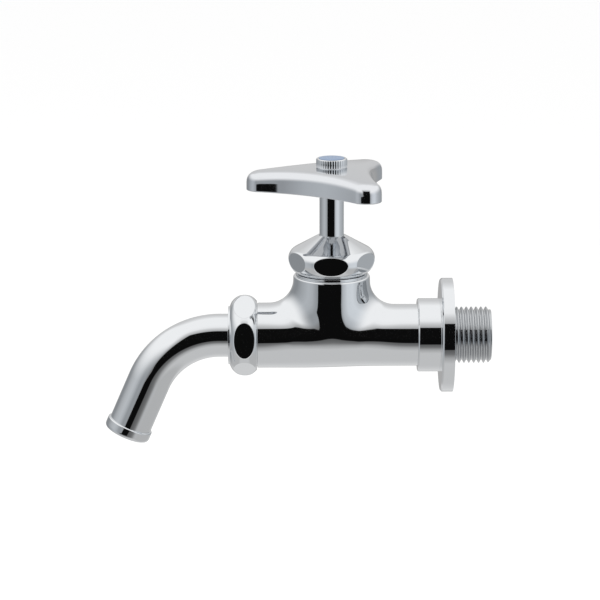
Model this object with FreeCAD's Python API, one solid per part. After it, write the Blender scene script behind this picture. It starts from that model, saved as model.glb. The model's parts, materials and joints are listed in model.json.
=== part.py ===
import FreeCAD, Part
import math
import os

# Wall-mounted garden tap with a swinging spout, in millimetres.
# The origin is the centre of the wall face on the tail's axis. +X points into the wall, the spout
# leaves towards -X, and +Z is up, along the valve stem.

# Clearances and overlaps
FIT = 0.05                    # radial clearance of a turning fit
LOOSE = 0.10                  # radial clearance of a thread or a slipped-on piece
FACE_GAP = 0.10               # gap between two faces that nearly meet
OVERLAP = 1.0                 # how far a cut or a joined bar runs on past its face
HUGE = 200.0                  # larger than any piece

# Layout
NECK_X = -45.0                # valve axis, from the wall
SHOULDER_X = -72.6            # where the body steps down to the spout nut's thread
TAIL_SHOULDER_X = -9.2        # where the body steps down to the wall thread

# Wall thread, pipe thread G 1/2
TAIL_THREAD_R = 10.4775
TAIL_THREAD_PITCH = 25.4 / 14
TAIL_THREAD_DEPTH = 1.162
TAIL_THREAD_ANGLE = 27.5      # flank angle, degrees
TAIL_THREAD_ROOT_HALF = 0.15  # half the groove's width at its root
TAIL_THREAD_START_X = -4.0    # runs on inside the flange
TAIL_LENGTH = 14.3            # stands out behind the wall face
TAIL_CHAMFER = 1.2
TAIL_BORE_R = 6.5
TAIL_BORE_REACH = 4.0         # bore inside the body, past the tail's shoulder
TAIL_BORE_START_X = TAIL_SHOULDER_X - TAIL_BORE_REACH

# Body casting, outside
RUN_R_SPOUT = 12.1
RUN_R_WALL = 11.5
NECK_R = 15.0                 # neck where it enters the run
NECK_TOP_R = 13.95
NECK_TOP_Z = 22.85            # where the neck's wall turns over into its rounded rim
NECK_STRAIGHT_Z = 4.0         # below this the neck is a plain cylinder
NECK_BLEND_R = 9.0            # blend between neck and run
NECK_RIM_R = 1.0
NECK_RIM_Z = NECK_TOP_Z + NECK_RIM_R
BELLY_HALF_WIDTH = 15.1
NECK_THREAD_R = 11.8          # under the cap nut
NECK_THREAD_LENGTH = 7.65     # above the rim
NECK_THREAD_TOP_Z = NECK_RIM_Z + NECK_THREAD_LENGTH
SPOUT_THREAD_R = 11.4         # under the spout nut
SPOUT_THREAD_LENGTH = 6.9
SPOUT_END_X = SHOULDER_X - SPOUT_THREAD_LENGTH

# Body casting, inside
RUN_BORE_R = 8.5
CHAMBER_REACH = 11.0          # blind ends of the upper passages, from the valve axis
LOWER_CHAMBER_REACH = 8.2     # far end of the passage under the seat, from the valve axis
INLET_CHAMBER_END_X = NECK_X + CHAMBER_REACH
OUTLET_CHAMBER_END_X = NECK_X - CHAMBER_REACH
LOWER_CHAMBER_END_X = NECK_X - LOWER_CHAMBER_REACH
FLOOR_UNDERSIDE_Z = -1.5
FLOOR_THICKNESS = 2.5
FLOOR_TOP_Z = FLOOR_UNDERSIDE_Z + FLOOR_THICKNESS
SEAT_LIP_HEIGHT = 1.0
SEAT_Z = FLOOR_TOP_Z + SEAT_LIP_HEIGHT
SEAT_BORE_R = 5.5
SEAT_LIP_R = 7.2
VALVE_CHAMBER_R = 9.0
VALVE_CHAMBER_HEIGHT = 11.0
VALVE_CHAMBER_TOP_Z = FLOOR_TOP_Z + VALVE_CHAMBER_HEIGHT
WASHER_POCKET_R = 9.3
WASHER_POCKET_DEPTH = 1.5
WASHER_POCKET_Z = NECK_THREAD_TOP_Z - WASHER_POCKET_DEPTH

# Valve
JUMPER_WASHER_R = 7.0
JUMPER_WASHER_THICKNESS = 2.9
JUMPER_DISC_R = 7.4
JUMPER_DISC_THICKNESS = 2.0
JUMPER_WASHER_TOP_Z = SEAT_Z + JUMPER_WASHER_THICKNESS
JUMPER_DISC_TOP_Z = JUMPER_WASHER_TOP_Z + JUMPER_DISC_THICKNESS
JUMPER_STEM_R = 2.9
JUMPER_STEM_LENGTH = 10.1     # above the disc
JUMPER_STUD_R = 1.75
JUMPER_STUD_LENGTH = 5.9      # below the disc
JUMPER_NUT_FLATS = 6.0
JUMPER_NUT_THICKNESS = 2.2

# Stem thread
STEM_CORE_R = 5.9
STEM_CREST_R = 7.0
STEM_PITCH = 2.5
STEM_ROOT_HALF = 0.75         # half the ridge's width at its root
STEM_CREST_HALF = 0.35        # half the ridge's width at its crest
STEM_THREAD_OFFSET = 0.5      # above the valve chamber
STEM_THREAD_Z = VALVE_CHAMBER_TOP_Z + STEM_THREAD_OFFSET
STEM_THREAD_TURNS = 4
THREAD_PLAY = 0.10            # between the stem's ridge and the neck's groove, all round

# Cap nut
CAP_R = 16.0
CAP_BOTTOM_Z = NECK_RIM_Z + FACE_GAP
CAP_FOOT_HEIGHT = 5.55        # from the foot to the widest place
CAP_WIDEST_Z = CAP_BOTTOM_Z + CAP_FOOT_HEIGHT
CAP_BOTTOM_R = 12.7
CAP_HEIGHT = 14.25
CAP_TOP_Z = CAP_BOTTOM_Z + CAP_HEIGHT
CAP_RIM_R = 5.0
CAP_CONE_ANGLE = 29.5         # fall of the cone, degrees
CAP_FLATS = 29.1
CAP_TURN = -1.8               # how far the flats stand off the body's axis, degrees
CAP_WALL = 2.2

# Packing under the cap nut
PACKING_WASHER_THICKNESS = 1.4
PACKING_R = 8.3
PACKING_TOP_R = 5.6
CAP_ROOF_GAP = 0.3

# Handle
HANDLE_RISE = 16.8            # bare stem between cap nut and handle
HANDLE_BOTTOM_Z = CAP_TOP_Z + HANDLE_RISE
HANDLE_HEIGHT = 8.6
HANDLE_TOP_Z = HANDLE_BOTTOM_Z + HANDLE_HEIGHT
HANDLE_TIP_R = 5.6
HANDLE_ARM = 25.8             # centre of each tip from the valve axis
HANDLE_WAIST = 15.0           # hollow side of the star, from the valve axis
HANDLE_CROWN_R = 260.0
HANDLE_EDGE_R = 4.2
HANDLE_WALL = 2.0
HANDLE_ARMS = 3
HANDLE_TURN = 178.0           # direction of the first arm, degrees
HANDLE_BOSS_R = 7.4

# Stem
STEM_R = 4.5
STEM_BOTTOM_Z = JUMPER_DISC_TOP_Z + FACE_GAP
STEM_FOOT_R = 5.2
JUMPER_HOLE_SPARE = 2.0               # free depth above the jumper's stem
JUMPER_HOLE_Z = JUMPER_DISC_TOP_Z + JUMPER_STEM_LENGTH + JUMPER_HOLE_SPARE
SOCKET_STEP = 1.0                     # handle metal below the serrated top
SOCKET_Z = HANDLE_BOTTOM_Z + SOCKET_STEP
SERRATION_R = 4.0
SERRATION_DEPTH = 0.4
SERRATION_COUNT = 18
SOCKET_ROOF = 2.2                     # handle metal above the stem
STEM_TOP_Z = HANDLE_TOP_Z - SOCKET_ROOF
SCREW_R = 2.0
SCREW_HOLE_DEPTH = 6.0                # below the socket
SCREW_HOLE_SPARE = 2.0                # free depth under the screw's end
SCREW_HOLE_Z = SOCKET_Z - SCREW_HOLE_DEPTH
SCREW_END_Z = SCREW_HOLE_Z + SCREW_HOLE_SPARE

# Handle screw and disc
SCREW_HEAD_R = 5.72
SCREW_HEAD_HEIGHT = 3.4
SCREW_HEAD_CHAMFER = 0.35
KNURL_COUNT = 44
KNURL_DEPTH = 0.22
DISC_R = 4.75
DISC_THICKNESS = 0.6
DISC_RECESS = 0.45

# Wall flange
FLANGE_R = 21.2
FLANGE_THICKNESS = 4.65
FLANGE_CHAMFER = 0.6
HUB_R = 13.65
HUB_LENGTH = 13.1
HUB_CHAMFER = 0.4

# Spout nut
SPOUT_NUT_R = 15.1
SPOUT_NUT_GAP = 0.2                   # to the body's shoulder
SPOUT_NUT_WALL_SIDE = 4.5             # from the widest place to the end towards the wall
SPOUT_NUT_WALL_SIDE_R = 12.8
SPOUT_NUT_X = SHOULDER_X - SPOUT_NUT_GAP - SPOUT_NUT_WALL_SIDE
SPOUT_NUT_PIPE_SIDE = 5.5
SPOUT_NUT_PIPE_SIDE_R = 11.0
SPOUT_NUT_COLLAR = 0.6
SPOUT_NUT_COLLAR_STEP = 0.2
SPOUT_NUT_END_X = SPOUT_NUT_X - SPOUT_NUT_PIPE_SIDE - SPOUT_NUT_COLLAR
SPOUT_NUT_FLATS = 26.8
SPOUT_NUT_TURN = 4.8                  # how far its front flat is turned up, degrees
SPOUT_NUT_LIP = 1.7

# Spout
PIPE_R = 8.0
PIPE_WALL = 1.2
PIPE_IN_BODY = 7.6
PIPE_INNER_X = SPOUT_END_X + PIPE_IN_BODY
PIPE_END_GAP = 1.0                    # before the step that stops the pipe
PIPE_STEP_LENGTH = 2.0
PIPE_BEFORE_BEND = 3.2                # straight, outside the spout nut
BEND_X = SPOUT_NUT_END_X - PIPE_BEFORE_BEND
BEND_R = 29.0
BEND_ANGLE = 66.5
PIPE_STRAIGHT = 21.6                  # after the bend, up to the mouth ring's end lip
MOUTH_RING_R = 8.95
MOUTH_RING_LENGTH = 3.2
MOUTH_LIP = 0.9
MOUTH_RING_CHAMFER = 0.3

# Rings round the spout
SEAL_POCKET_R = 10.0
SEAL_POCKET_DEPTH = 5.9
SEAL_LENGTH = 3.6
SEAL_GROOVE_DEPTH = 1.6
SEAL_GROOVE_WIDTH = 1.0
SLIP_RING_R = 10.6
SLIP_RING_THICKNESS = 1.0
RETAINER_R = 9.7
RETAINER_WIDTH = 1.2
RETAINER_GROOVE_DEPTH = 0.6
RETAINER_SPLIT = 1.6

ORIGIN = FreeCAD.Vector(0, 0, 0)
X_AXIS = FreeCAD.Vector(1, 0, 0)
Y_AXIS = FreeCAD.Vector(0, 1, 0)
Z_AXIS = FreeCAD.Vector(0, 0, 1)


def vec(x, y, z):
    return FreeCAD.Vector(x, y, z)


def rod(r, start, end):
    """Round bar about Z from one height to another."""
    return Part.makeCylinder(r, end - start, vec(0, 0, start))


def tube(r_out, r_in, start, end):
    return rod(r_out, start, end).cut(rod(r_in, start - OVERLAP, end + OVERLAP))


def turned(points):
    """Solid of revolution about Z, from (radius, height) points.

    A point with a third value is joined to the one before it by an arc that runs parallel to the
    axis at whichever of the two lies further out. The other points are joined by straight lines.
    """
    edges = []
    for before, after in zip(points, points[1:] + points[:1]):
        a = vec(before[0], 0, before[1])
        b = vec(after[0], 0, after[1])
        if len(after) == 2:
            edges.append(Part.LineSegment(a, b).toShape())
            continue
        outer, inner = (a, b) if a.x > b.x else (b, a)
        rise = inner.z - outer.z
        drop = outer.x - inner.x
        radius = (rise * rise + drop * drop) / (2 * drop)
        half = math.atan2(rise, radius - drop) / 2
        middle_x = outer.x - radius + radius * math.cos(half)
        middle = vec(middle_x, 0, outer.z + radius * math.sin(half))
        edges.append(Part.Arc(a, middle, b).toShape())
    face = Part.Face(Part.Wire(edges))
    return face.revolve(ORIGIN, Z_AXIS, 360)


def along_x(shape):
    """Lay a shape made about Z along X, its height becoming the X position."""
    placed = shape.copy()
    placed.rotate(ORIGIN, Y_AXIS, 90)
    return placed


def on_neck(shape):
    """Move a shape made about Z onto the valve axis."""
    placed = shape.copy()
    placed.translate(vec(NECK_X, 0, 0))
    return placed


def wound_rib(inner_r, outer_r, inner_half, outer_half, pitch, start, turns):
    """Trapezoid rib wound round Z as a right-hand thread, joined from whole turns."""
    corners = [
        vec(inner_r, 0, -inner_half),
        vec(outer_r, 0, -outer_half),
        vec(outer_r, 0, outer_half),
        vec(inner_r, 0, inner_half),
    ]
    sweep = Part.BRepOffsetAPI.MakePipeShell(Part.Wire(Part.makeHelix(pitch, pitch, inner_r).Edges))
    sweep.setFrenetMode(True)
    sweep.add(Part.makePolygon(corners + corners[:1]))
    sweep.build()
    sweep.makeSolid()
    pieces = []
    for turn in range(turns):
        piece = sweep.shape().copy()
        piece.translate(vec(0, 0, start + pitch * turn))
        pieces.append(piece)
    return pieces[0].multiFuse(pieces[1:]).removeSplitter()


def flats(solid, across, z_low, z_high, turn):
    """Cut six flats round Z into a solid."""
    hexagon = []
    for corner in range(6):
        angle = math.radians(turn + 30 + 60 * corner)
        reach = across / 2 / math.cos(math.radians(30))
        hexagon.append(vec(reach * math.cos(angle), reach * math.sin(angle), z_low))
    face = Part.Face(Part.makePolygon(hexagon + hexagon[:1]))
    return solid.common(face.extrude(vec(0, 0, z_high - z_low)))


def save(shape, node):
    shape.exportStep("parts/" + node + ".step")


# Body


def neck_outline():
    """Neck from below the run up to its rounded rim, with a slight taper."""
    bottom = -2 * RUN_R_SPOUT
    return turned([
        (0, bottom),
        (NECK_R, bottom),
        (NECK_R, NECK_STRAIGHT_Z),
        (NECK_TOP_R, NECK_TOP_Z, "arc"),
        (NECK_TOP_R - NECK_RIM_R, NECK_RIM_Z, "arc"),
        (0, NECK_RIM_Z),
    ])


def on_seam(edge):
    """Whether an edge's middle lies on the neck's wall and on the run's at once."""
    middle = edge.valueAt((edge.FirstParameter + edge.LastParameter) / 2)
    run_r = RUN_R_SPOUT if middle.x < NECK_X else RUN_R_WALL
    off_neck = math.hypot(middle.x - NECK_X, middle.y) - NECK_R
    off_run = math.hypot(middle.y, middle.z) - run_r
    near = NECK_R - NECK_TOP_R
    return abs(off_neck) < near and abs(off_run) < FIT


def body_outside():
    spout_half = along_x(rod(RUN_R_SPOUT, SHOULDER_X, NECK_X))
    wall_half = along_x(rod(RUN_R_WALL, NECK_X, TAIL_SHOULDER_X))
    neck = neck_outline()
    neck.rotate(ORIGIN, Z_AXIS, 90)
    cross = spout_half.fuse(wall_half).fuse(on_neck(neck))
    cross = cross.makeFillet(NECK_BLEND_R, [edge for edge in cross.Edges if on_seam(edge)])
    upper = Part.makeBox(HUGE, HUGE, HUGE, vec(-HUGE / 2, -HUGE / 2, 0))
    oval = Part.Ellipse(vec(0, BELLY_HALF_WIDTH, 0), vec(0, 0, RUN_R_SPOUT), ORIGIN)
    belly = Part.Face(Part.Wire(oval.toShape())).extrude(vec(HUGE, 0, 0))
    belly.translate(vec(-HUGE / 2, 0, 0))
    outside = cross.common(upper.fuse(belly))
    thread = rod(NECK_THREAD_R, NECK_TOP_Z, NECK_THREAD_TOP_Z)
    spout_thread = rod(SPOUT_THREAD_R, SPOUT_END_X, SHOULDER_X + OVERLAP)
    outside = outside.fuse([on_neck(thread), along_x(spout_thread)])
    return outside.fuse(along_x(threaded_tail()))


def body_passages():
    wall_bore = along_x(rod(TAIL_BORE_R, TAIL_BORE_START_X - OVERLAP, TAIL_LENGTH + OVERLAP))
    inlet = along_x(rod(RUN_BORE_R, INLET_CHAMBER_END_X, TAIL_BORE_START_X))
    under = along_x(rod(RUN_BORE_R, LOWER_CHAMBER_END_X, INLET_CHAMBER_END_X + OVERLAP))
    below_floor = Part.makeBox(HUGE, HUGE, HUGE, vec(-HUGE, -HUGE / 2, FLOOR_UNDERSIDE_Z - HUGE))
    under = under.common(below_floor)
    over = along_x(rod(RUN_BORE_R, OUTLET_CHAMBER_END_X - OVERLAP, NECK_X))
    above_floor = Part.makeBox(HUGE, HUGE, HUGE, vec(-HUGE, -HUGE / 2, FLOOR_TOP_Z))
    over = over.common(above_floor)
    guide_end = PIPE_INNER_X + PIPE_END_GAP
    step_end = guide_end + PIPE_STEP_LENGTH
    outlet = along_x(rod(RUN_BORE_R, step_end, OUTLET_CHAMBER_END_X))
    pipe_way = along_x(rod(PIPE_R - PIPE_WALL, guide_end - OVERLAP, step_end + OVERLAP))
    guide = along_x(rod(PIPE_R + FIT, SPOUT_END_X - OVERLAP, guide_end))
    pocket = along_x(rod(SEAL_POCKET_R, SPOUT_END_X - OVERLAP, SPOUT_END_X + SEAL_POCKET_DEPTH))
    chamber = rod(VALVE_CHAMBER_R, FLOOR_TOP_Z, VALVE_CHAMBER_TOP_Z)
    chamber = chamber.cut(tube(SEAT_LIP_R, SEAT_BORE_R, FLOOR_TOP_Z - OVERLAP, SEAT_Z))
    roof_height = VALVE_CHAMBER_R - STEM_CORE_R
    roof = Part.makeCone(VALVE_CHAMBER_R, STEM_CORE_R, roof_height, vec(0, 0, VALVE_CHAMBER_TOP_Z))
    seat = rod(SEAT_BORE_R, FLOOR_UNDERSIDE_Z - OVERLAP, SEAT_Z + OVERLAP)
    stem_bore = rod(STEM_CORE_R + THREAD_PLAY, VALVE_CHAMBER_TOP_Z, NECK_THREAD_TOP_Z + OVERLAP)
    washer_pocket = rod(WASHER_POCKET_R, WASHER_POCKET_Z, NECK_THREAD_TOP_Z + OVERLAP)
    on_axis = [on_neck(piece) for piece in (chamber, roof, seat, stem_bore, washer_pocket)]
    return [wall_bore, inlet, under, over, outlet, pipe_way, guide, pocket] + on_axis


def stem_groove():
    """Female thread in the neck, in step with the stem's ridge."""
    slope = (STEM_ROOT_HALF - STEM_CREST_HALF) / (STEM_CREST_R - STEM_CORE_R)
    inner = STEM_CORE_R - THREAD_PLAY
    outer = STEM_CREST_R + THREAD_PLAY
    inner_half = STEM_ROOT_HALF + THREAD_PLAY + slope * THREAD_PLAY
    outer_half = STEM_CREST_HALF + THREAD_PLAY - slope * THREAD_PLAY
    turns_below = math.ceil((STEM_THREAD_Z - VALVE_CHAMBER_TOP_Z) / STEM_PITCH)
    start = STEM_THREAD_Z - turns_below * STEM_PITCH
    turns = math.floor((WASHER_POCKET_Z + OVERLAP - start) / STEM_PITCH)
    return wound_rib(inner, outer, inner_half, outer_half, STEM_PITCH, start, turns)


def threaded_tail():
    """Tail with its pipe thread, made about Z, the height being the place along the body."""
    tail = rod(TAIL_THREAD_R, TAIL_SHOULDER_X - OVERLAP, TAIL_LENGTH)
    end_edge = max(tail.Edges, key=lambda edge: edge.CenterOfMass.z)
    tail = tail.makeChamfer(TAIL_CHAMFER, [end_edge])
    slope = math.tan(math.radians(TAIL_THREAD_ANGLE))
    outer_r = TAIL_THREAD_R + LOOSE
    root_r = TAIL_THREAD_R - TAIL_THREAD_DEPTH
    outer_half = TAIL_THREAD_ROOT_HALF + slope * (outer_r - root_r)
    turns = math.ceil((TAIL_LENGTH - TAIL_THREAD_START_X) / TAIL_THREAD_PITCH) + 1
    start = TAIL_LENGTH + (1 - turns) * TAIL_THREAD_PITCH
    rib = wound_rib(root_r, outer_r, TAIL_THREAD_ROOT_HALF, outer_half, TAIL_THREAD_PITCH, start, turns)
    return tail.cut(rib)


def tap_body():
    body = body_outside().cut(body_passages())
    return body.cut(on_neck(stem_groove()))


# Wall flange


def wall_flange():
    flange_front = -FLANGE_THICKNESS
    outside = turned([
        (0, -HUB_LENGTH),
        (HUB_R - HUB_CHAMFER, -HUB_LENGTH),
        (HUB_R, -HUB_LENGTH + HUB_CHAMFER),
        (HUB_R, flange_front),
        (FLANGE_R - FLANGE_CHAMFER, flange_front),
        (FLANGE_R, flange_front + FLANGE_CHAMFER),
        (FLANGE_R, 0),
        (0, 0),
    ])
    bore = rod(TAIL_THREAD_R + LOOSE, -HUB_LENGTH - OVERLAP, OVERLAP)
    recess = rod(RUN_R_WALL + LOOSE, -HUB_LENGTH - OVERLAP, TAIL_SHOULDER_X)
    return along_x(outside.cut([bore, recess]))


# Cap nut and packing


def cap_roof():
    """Height of the chamber's roof at the washer pocket's radius and at the stem."""
    fall = math.tan(math.radians(CAP_CONE_ANGLE))
    roof_top = CAP_TOP_Z - CAP_WALL
    roof_low = roof_top - fall * (PACKING_R - PACKING_TOP_R)
    return roof_low, roof_top


def cap_nut():
    cone = math.radians(CAP_CONE_ANGLE)
    fall = math.tan(cone)
    drop = CAP_TOP_Z - CAP_WIDEST_Z - fall * (CAP_R - CAP_RIM_R)
    bulge = drop / (math.cos(cone) + math.sin(cone) * fall - fall)
    touch_r = CAP_R - bulge + bulge * math.sin(cone)
    touch_z = CAP_WIDEST_Z + bulge * math.cos(cone)
    outside = turned([
        (0, CAP_BOTTOM_Z),
        (CAP_BOTTOM_R, CAP_BOTTOM_Z),
        (CAP_R, CAP_WIDEST_Z, "arc"),
        (touch_r, touch_z, "arc"),
        (CAP_RIM_R, CAP_TOP_Z),
        (0, CAP_TOP_Z),
    ])
    nut = flats(outside, CAP_FLATS, CAP_BOTTOM_Z, CAP_TOP_Z, CAP_TURN - 90)
    roof_low, roof_top = cap_roof()
    thread = rod(NECK_THREAD_R + FIT, CAP_BOTTOM_Z - OVERLAP, NECK_THREAD_TOP_Z)
    chamber = turned([
        (0, NECK_THREAD_TOP_Z - OVERLAP),
        (PACKING_R + FACE_GAP, NECK_THREAD_TOP_Z - OVERLAP),
        (PACKING_R + FACE_GAP, roof_low),
        (PACKING_TOP_R, roof_top),
        (0, roof_top),
    ])
    hole = rod(STEM_R + LOOSE, roof_top - OVERLAP, CAP_TOP_Z + OVERLAP)
    return on_neck(nut.cut([thread, chamber, hole]))


def packing_washer():
    top = WASHER_POCKET_Z + PACKING_WASHER_THICKNESS
    return on_neck(tube(WASHER_POCKET_R - LOOSE, STEM_R + LOOSE, WASHER_POCKET_Z, top))


def gland_packing():
    """Conical rubber ring, squeezed between the washer and the cap nut's roof."""
    bottom = WASHER_POCKET_Z + PACKING_WASHER_THICKNESS
    roof_low, roof_top = cap_roof()
    ring = turned([
        (STEM_R + FIT, bottom),
        (PACKING_R, bottom),
        (PACKING_R, roof_low - CAP_ROOF_GAP),
        (PACKING_TOP_R, roof_top - CAP_ROOF_GAP),
        (STEM_R + FIT, roof_top - CAP_ROOF_GAP),
    ])
    return on_neck(ring)


# Stem and valve


def star(r_out, depth, count, z_low, z_high):
    """Round bar with straight vee grooves along it."""
    corners = []
    for step in range(2 * count):
        angle = math.pi * step / count
        r = r_out if step % 2 == 0 else r_out - depth
        corners.append(vec(r * math.cos(angle), r * math.sin(angle), z_low))
    face = Part.Face(Part.makePolygon(corners + corners[:1]))
    return face.extrude(vec(0, 0, z_high - z_low))


def spindle():
    thread_top = STEM_THREAD_Z + STEM_THREAD_TURNS * STEM_PITCH
    core = rod(STEM_FOOT_R, STEM_BOTTOM_Z, STEM_THREAD_Z)
    threaded = rod(STEM_CORE_R, STEM_THREAD_Z - STEM_ROOT_HALF, thread_top + STEM_ROOT_HALF)
    ridge = wound_rib(STEM_CORE_R - THREAD_PLAY, STEM_CREST_R, STEM_ROOT_HALF, STEM_CREST_HALF,
                      STEM_PITCH, STEM_THREAD_Z, STEM_THREAD_TURNS)
    plain = rod(STEM_R, thread_top, SOCKET_Z)
    top = star(SERRATION_R, SERRATION_DEPTH, SERRATION_COUNT, SOCKET_Z, STEM_TOP_Z)
    solid = core.fuse([threaded, plain, top]).fuse(ridge)
    jumper_hole = rod(JUMPER_STEM_R + FIT, STEM_BOTTOM_Z - OVERLAP, JUMPER_HOLE_Z)
    screw_hole = rod(SCREW_R + FIT, SCREW_HOLE_Z, STEM_TOP_Z + OVERLAP)
    return on_neck(solid.cut([jumper_hole, screw_hole]))


def jumper_valve():
    disc = rod(JUMPER_DISC_R, JUMPER_WASHER_TOP_Z, JUMPER_DISC_TOP_Z)
    stem = rod(JUMPER_STEM_R, JUMPER_DISC_TOP_Z - OVERLAP, JUMPER_DISC_TOP_Z + JUMPER_STEM_LENGTH)
    stud = rod(JUMPER_STUD_R, JUMPER_WASHER_TOP_Z - JUMPER_STUD_LENGTH, JUMPER_WASHER_TOP_Z + OVERLAP)
    return on_neck(disc.fuse([stem, stud]))


def jumper_washer():
    return on_neck(tube(JUMPER_WASHER_R, JUMPER_STUD_R + FIT, SEAT_Z, JUMPER_WASHER_TOP_Z))


def jumper_nut():
    bottom = SEAT_Z - JUMPER_NUT_THICKNESS
    blank = tube(JUMPER_NUT_FLATS, JUMPER_STUD_R + FIT, bottom, SEAT_Z)
    return on_neck(flats(blank, JUMPER_NUT_FLATS, bottom, SEAT_Z, 0))


# Handle


def star_outline(inset, z):
    """Three-armed outline with round tips and hollow sides, drawn in by an inset."""
    tip_r = HANDLE_TIP_R - inset
    waist = HANDLE_WAIST - inset
    half_step = math.pi / HANDLE_ARMS
    across = HANDLE_ARM * math.cos(half_step)
    beside = HANDLE_ARM * math.sin(half_step)
    gap = waist - across
    side_r = (gap * gap + beside * beside - tip_r * tip_r) / (2 * (tip_r - gap))
    centre = waist + side_r
    share = side_r / (side_r + tip_r)
    touch_x = centre + (across - centre) * share
    touch_y = beside * share
    touch_r = math.hypot(touch_x, touch_y)
    touch_angle = half_step - math.atan2(touch_y, touch_x)
    edges = []
    for arm in range(HANDLE_ARMS):
        along = math.radians(HANDLE_TURN) + 2 * half_step * arm

        def at(r, angle):
            return vec(r * math.cos(angle), r * math.sin(angle), z)

        before = at(touch_r, along - touch_angle)
        after = at(touch_r, along + touch_angle)
        tip = at(HANDLE_ARM + tip_r, along)
        middle = at(waist, along + half_step)
        onward = at(touch_r, along + 2 * half_step - touch_angle)
        edges.append(Part.Arc(before, tip, after).toShape())
        edges.append(Part.Arc(after, middle, onward).toShape())
    return Part.Face(Part.Wire(edges))


def handle():
    blank = star_outline(0, HANDLE_BOTTOM_Z).extrude(vec(0, 0, HUGE))
    crown = Part.makeSphere(HANDLE_CROWN_R, vec(0, 0, HANDLE_TOP_Z - HANDLE_CROWN_R))
    blank = blank.common(crown)
    top_face = max(blank.Faces, key=lambda face: face.CenterOfMass.z)
    blank = blank.makeFillet(HANDLE_EDGE_R, top_face.OuterWire.Edges)
    hollow = star_outline(HANDLE_WALL, HANDLE_BOTTOM_Z - OVERLAP).extrude(vec(0, 0, HUGE))
    inner_crown = Part.makeSphere(HANDLE_CROWN_R - HANDLE_WALL, vec(0, 0, HANDLE_TOP_Z - HANDLE_CROWN_R))
    hollow = hollow.common(inner_crown)
    top_face = max(hollow.Faces, key=lambda face: face.CenterOfMass.z)
    hollow = hollow.makeFillet(HANDLE_EDGE_R - HANDLE_WALL, top_face.OuterWire.Edges)
    boss = rod(HANDLE_BOSS_R, HANDLE_BOTTOM_Z, HANDLE_TOP_Z - HANDLE_WALL / 2)
    shell = blank.cut(hollow).fuse(boss)
    stem_way = rod(STEM_R + FIT, HANDLE_BOTTOM_Z - OVERLAP, SOCKET_Z)
    socket_r = SERRATION_R + FIT
    socket_top = STEM_TOP_Z + FACE_GAP
    socket = star(socket_r, SERRATION_DEPTH, SERRATION_COUNT, HANDLE_BOTTOM_Z - OVERLAP, socket_top)
    screw_way = rod(SCREW_R + LOOSE, STEM_TOP_Z, HANDLE_TOP_Z + OVERLAP)
    seat = rod(SCREW_HEAD_R, HANDLE_TOP_Z - FACE_GAP, HANDLE_TOP_Z + OVERLAP)
    return on_neck(shell.cut([stem_way, socket, screw_way, seat]))


def handle_screw():
    seat_z = HANDLE_TOP_Z - FACE_GAP
    top = seat_z + SCREW_HEAD_HEIGHT
    head = star(SCREW_HEAD_R, KNURL_DEPTH, KNURL_COUNT, seat_z, top)
    envelope = turned([
        (0, seat_z),
        (SCREW_HEAD_R - SCREW_HEAD_CHAMFER, seat_z),
        (SCREW_HEAD_R, seat_z + SCREW_HEAD_CHAMFER),
        (SCREW_HEAD_R, top - SCREW_HEAD_CHAMFER),
        (SCREW_HEAD_R - SCREW_HEAD_CHAMFER, top),
        (0, top),
    ])
    head = head.common(envelope)
    shank = rod(SCREW_R, SCREW_END_Z, seat_z + OVERLAP)
    recess = rod(DISC_R, top - DISC_RECESS, top + OVERLAP)
    return on_neck(head.fuse(shank).cut(recess))


def colour_index():
    top = HANDLE_TOP_Z - FACE_GAP + SCREW_HEAD_HEIGHT
    bottom = top - DISC_RECESS
    disc = rod(DISC_R - FIT, bottom, bottom + DISC_THICKNESS)
    return on_neck(disc)


# Spout joint


def spout_nut():
    pipe_end = SPOUT_NUT_X - SPOUT_NUT_PIPE_SIDE
    wall_end = SPOUT_NUT_X + SPOUT_NUT_WALL_SIDE
    collar_r = SPOUT_NUT_PIPE_SIDE_R - SPOUT_NUT_COLLAR_STEP
    outside = turned([
        (0, SPOUT_NUT_END_X),
        (collar_r, SPOUT_NUT_END_X),
        (collar_r, pipe_end),
        (SPOUT_NUT_PIPE_SIDE_R, pipe_end),
        (SPOUT_NUT_R, SPOUT_NUT_X, "arc"),
        (SPOUT_NUT_WALL_SIDE_R, wall_end, "arc"),
        (0, wall_end),
    ])
    nut = flats(outside, SPOUT_NUT_FLATS, SPOUT_NUT_END_X, wall_end, 90 - SPOUT_NUT_TURN)
    thread = rod(SPOUT_THREAD_R + FIT, SPOUT_NUT_END_X + SPOUT_NUT_LIP, wall_end + OVERLAP)
    hole = rod(PIPE_R + LOOSE, SPOUT_NUT_END_X - OVERLAP, wall_end)
    return along_x(nut.cut([thread, hole]))


def slip_ring_place():
    start = SPOUT_NUT_END_X + SPOUT_NUT_LIP
    return start, start + SLIP_RING_THICKNESS


def spout_slip_ring():
    start, end = slip_ring_place()
    return along_x(tube(SLIP_RING_R, PIPE_R + LOOSE, start, end))


def retainer_place():
    start = slip_ring_place()[1] + FIT
    return start, start + RETAINER_WIDTH


def spout_retaining_ring():
    start, end = retainer_place()
    ring = tube(RETAINER_R, PIPE_R - RETAINER_GROOVE_DEPTH, start, end)
    split = Part.makeBox(HUGE, RETAINER_SPLIT, HUGE, vec(-HUGE, -RETAINER_SPLIT / 2, start - OVERLAP))
    return along_x(ring.cut(split))


def spout_seal():
    """Cup seal with a groove on the pressure side."""
    end = SPOUT_END_X + SEAL_POCKET_DEPTH
    start = end - SEAL_LENGTH
    ring = tube(SEAL_POCKET_R - FIT, PIPE_R + FIT, start, end)
    middle = (SEAL_POCKET_R + PIPE_R) / 2
    half = SEAL_GROOVE_WIDTH / 2
    return along_x(ring.cut(tube(middle + half, middle - half, end - SEAL_GROOVE_DEPTH, end + OVERLAP)))


# Spout


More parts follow.
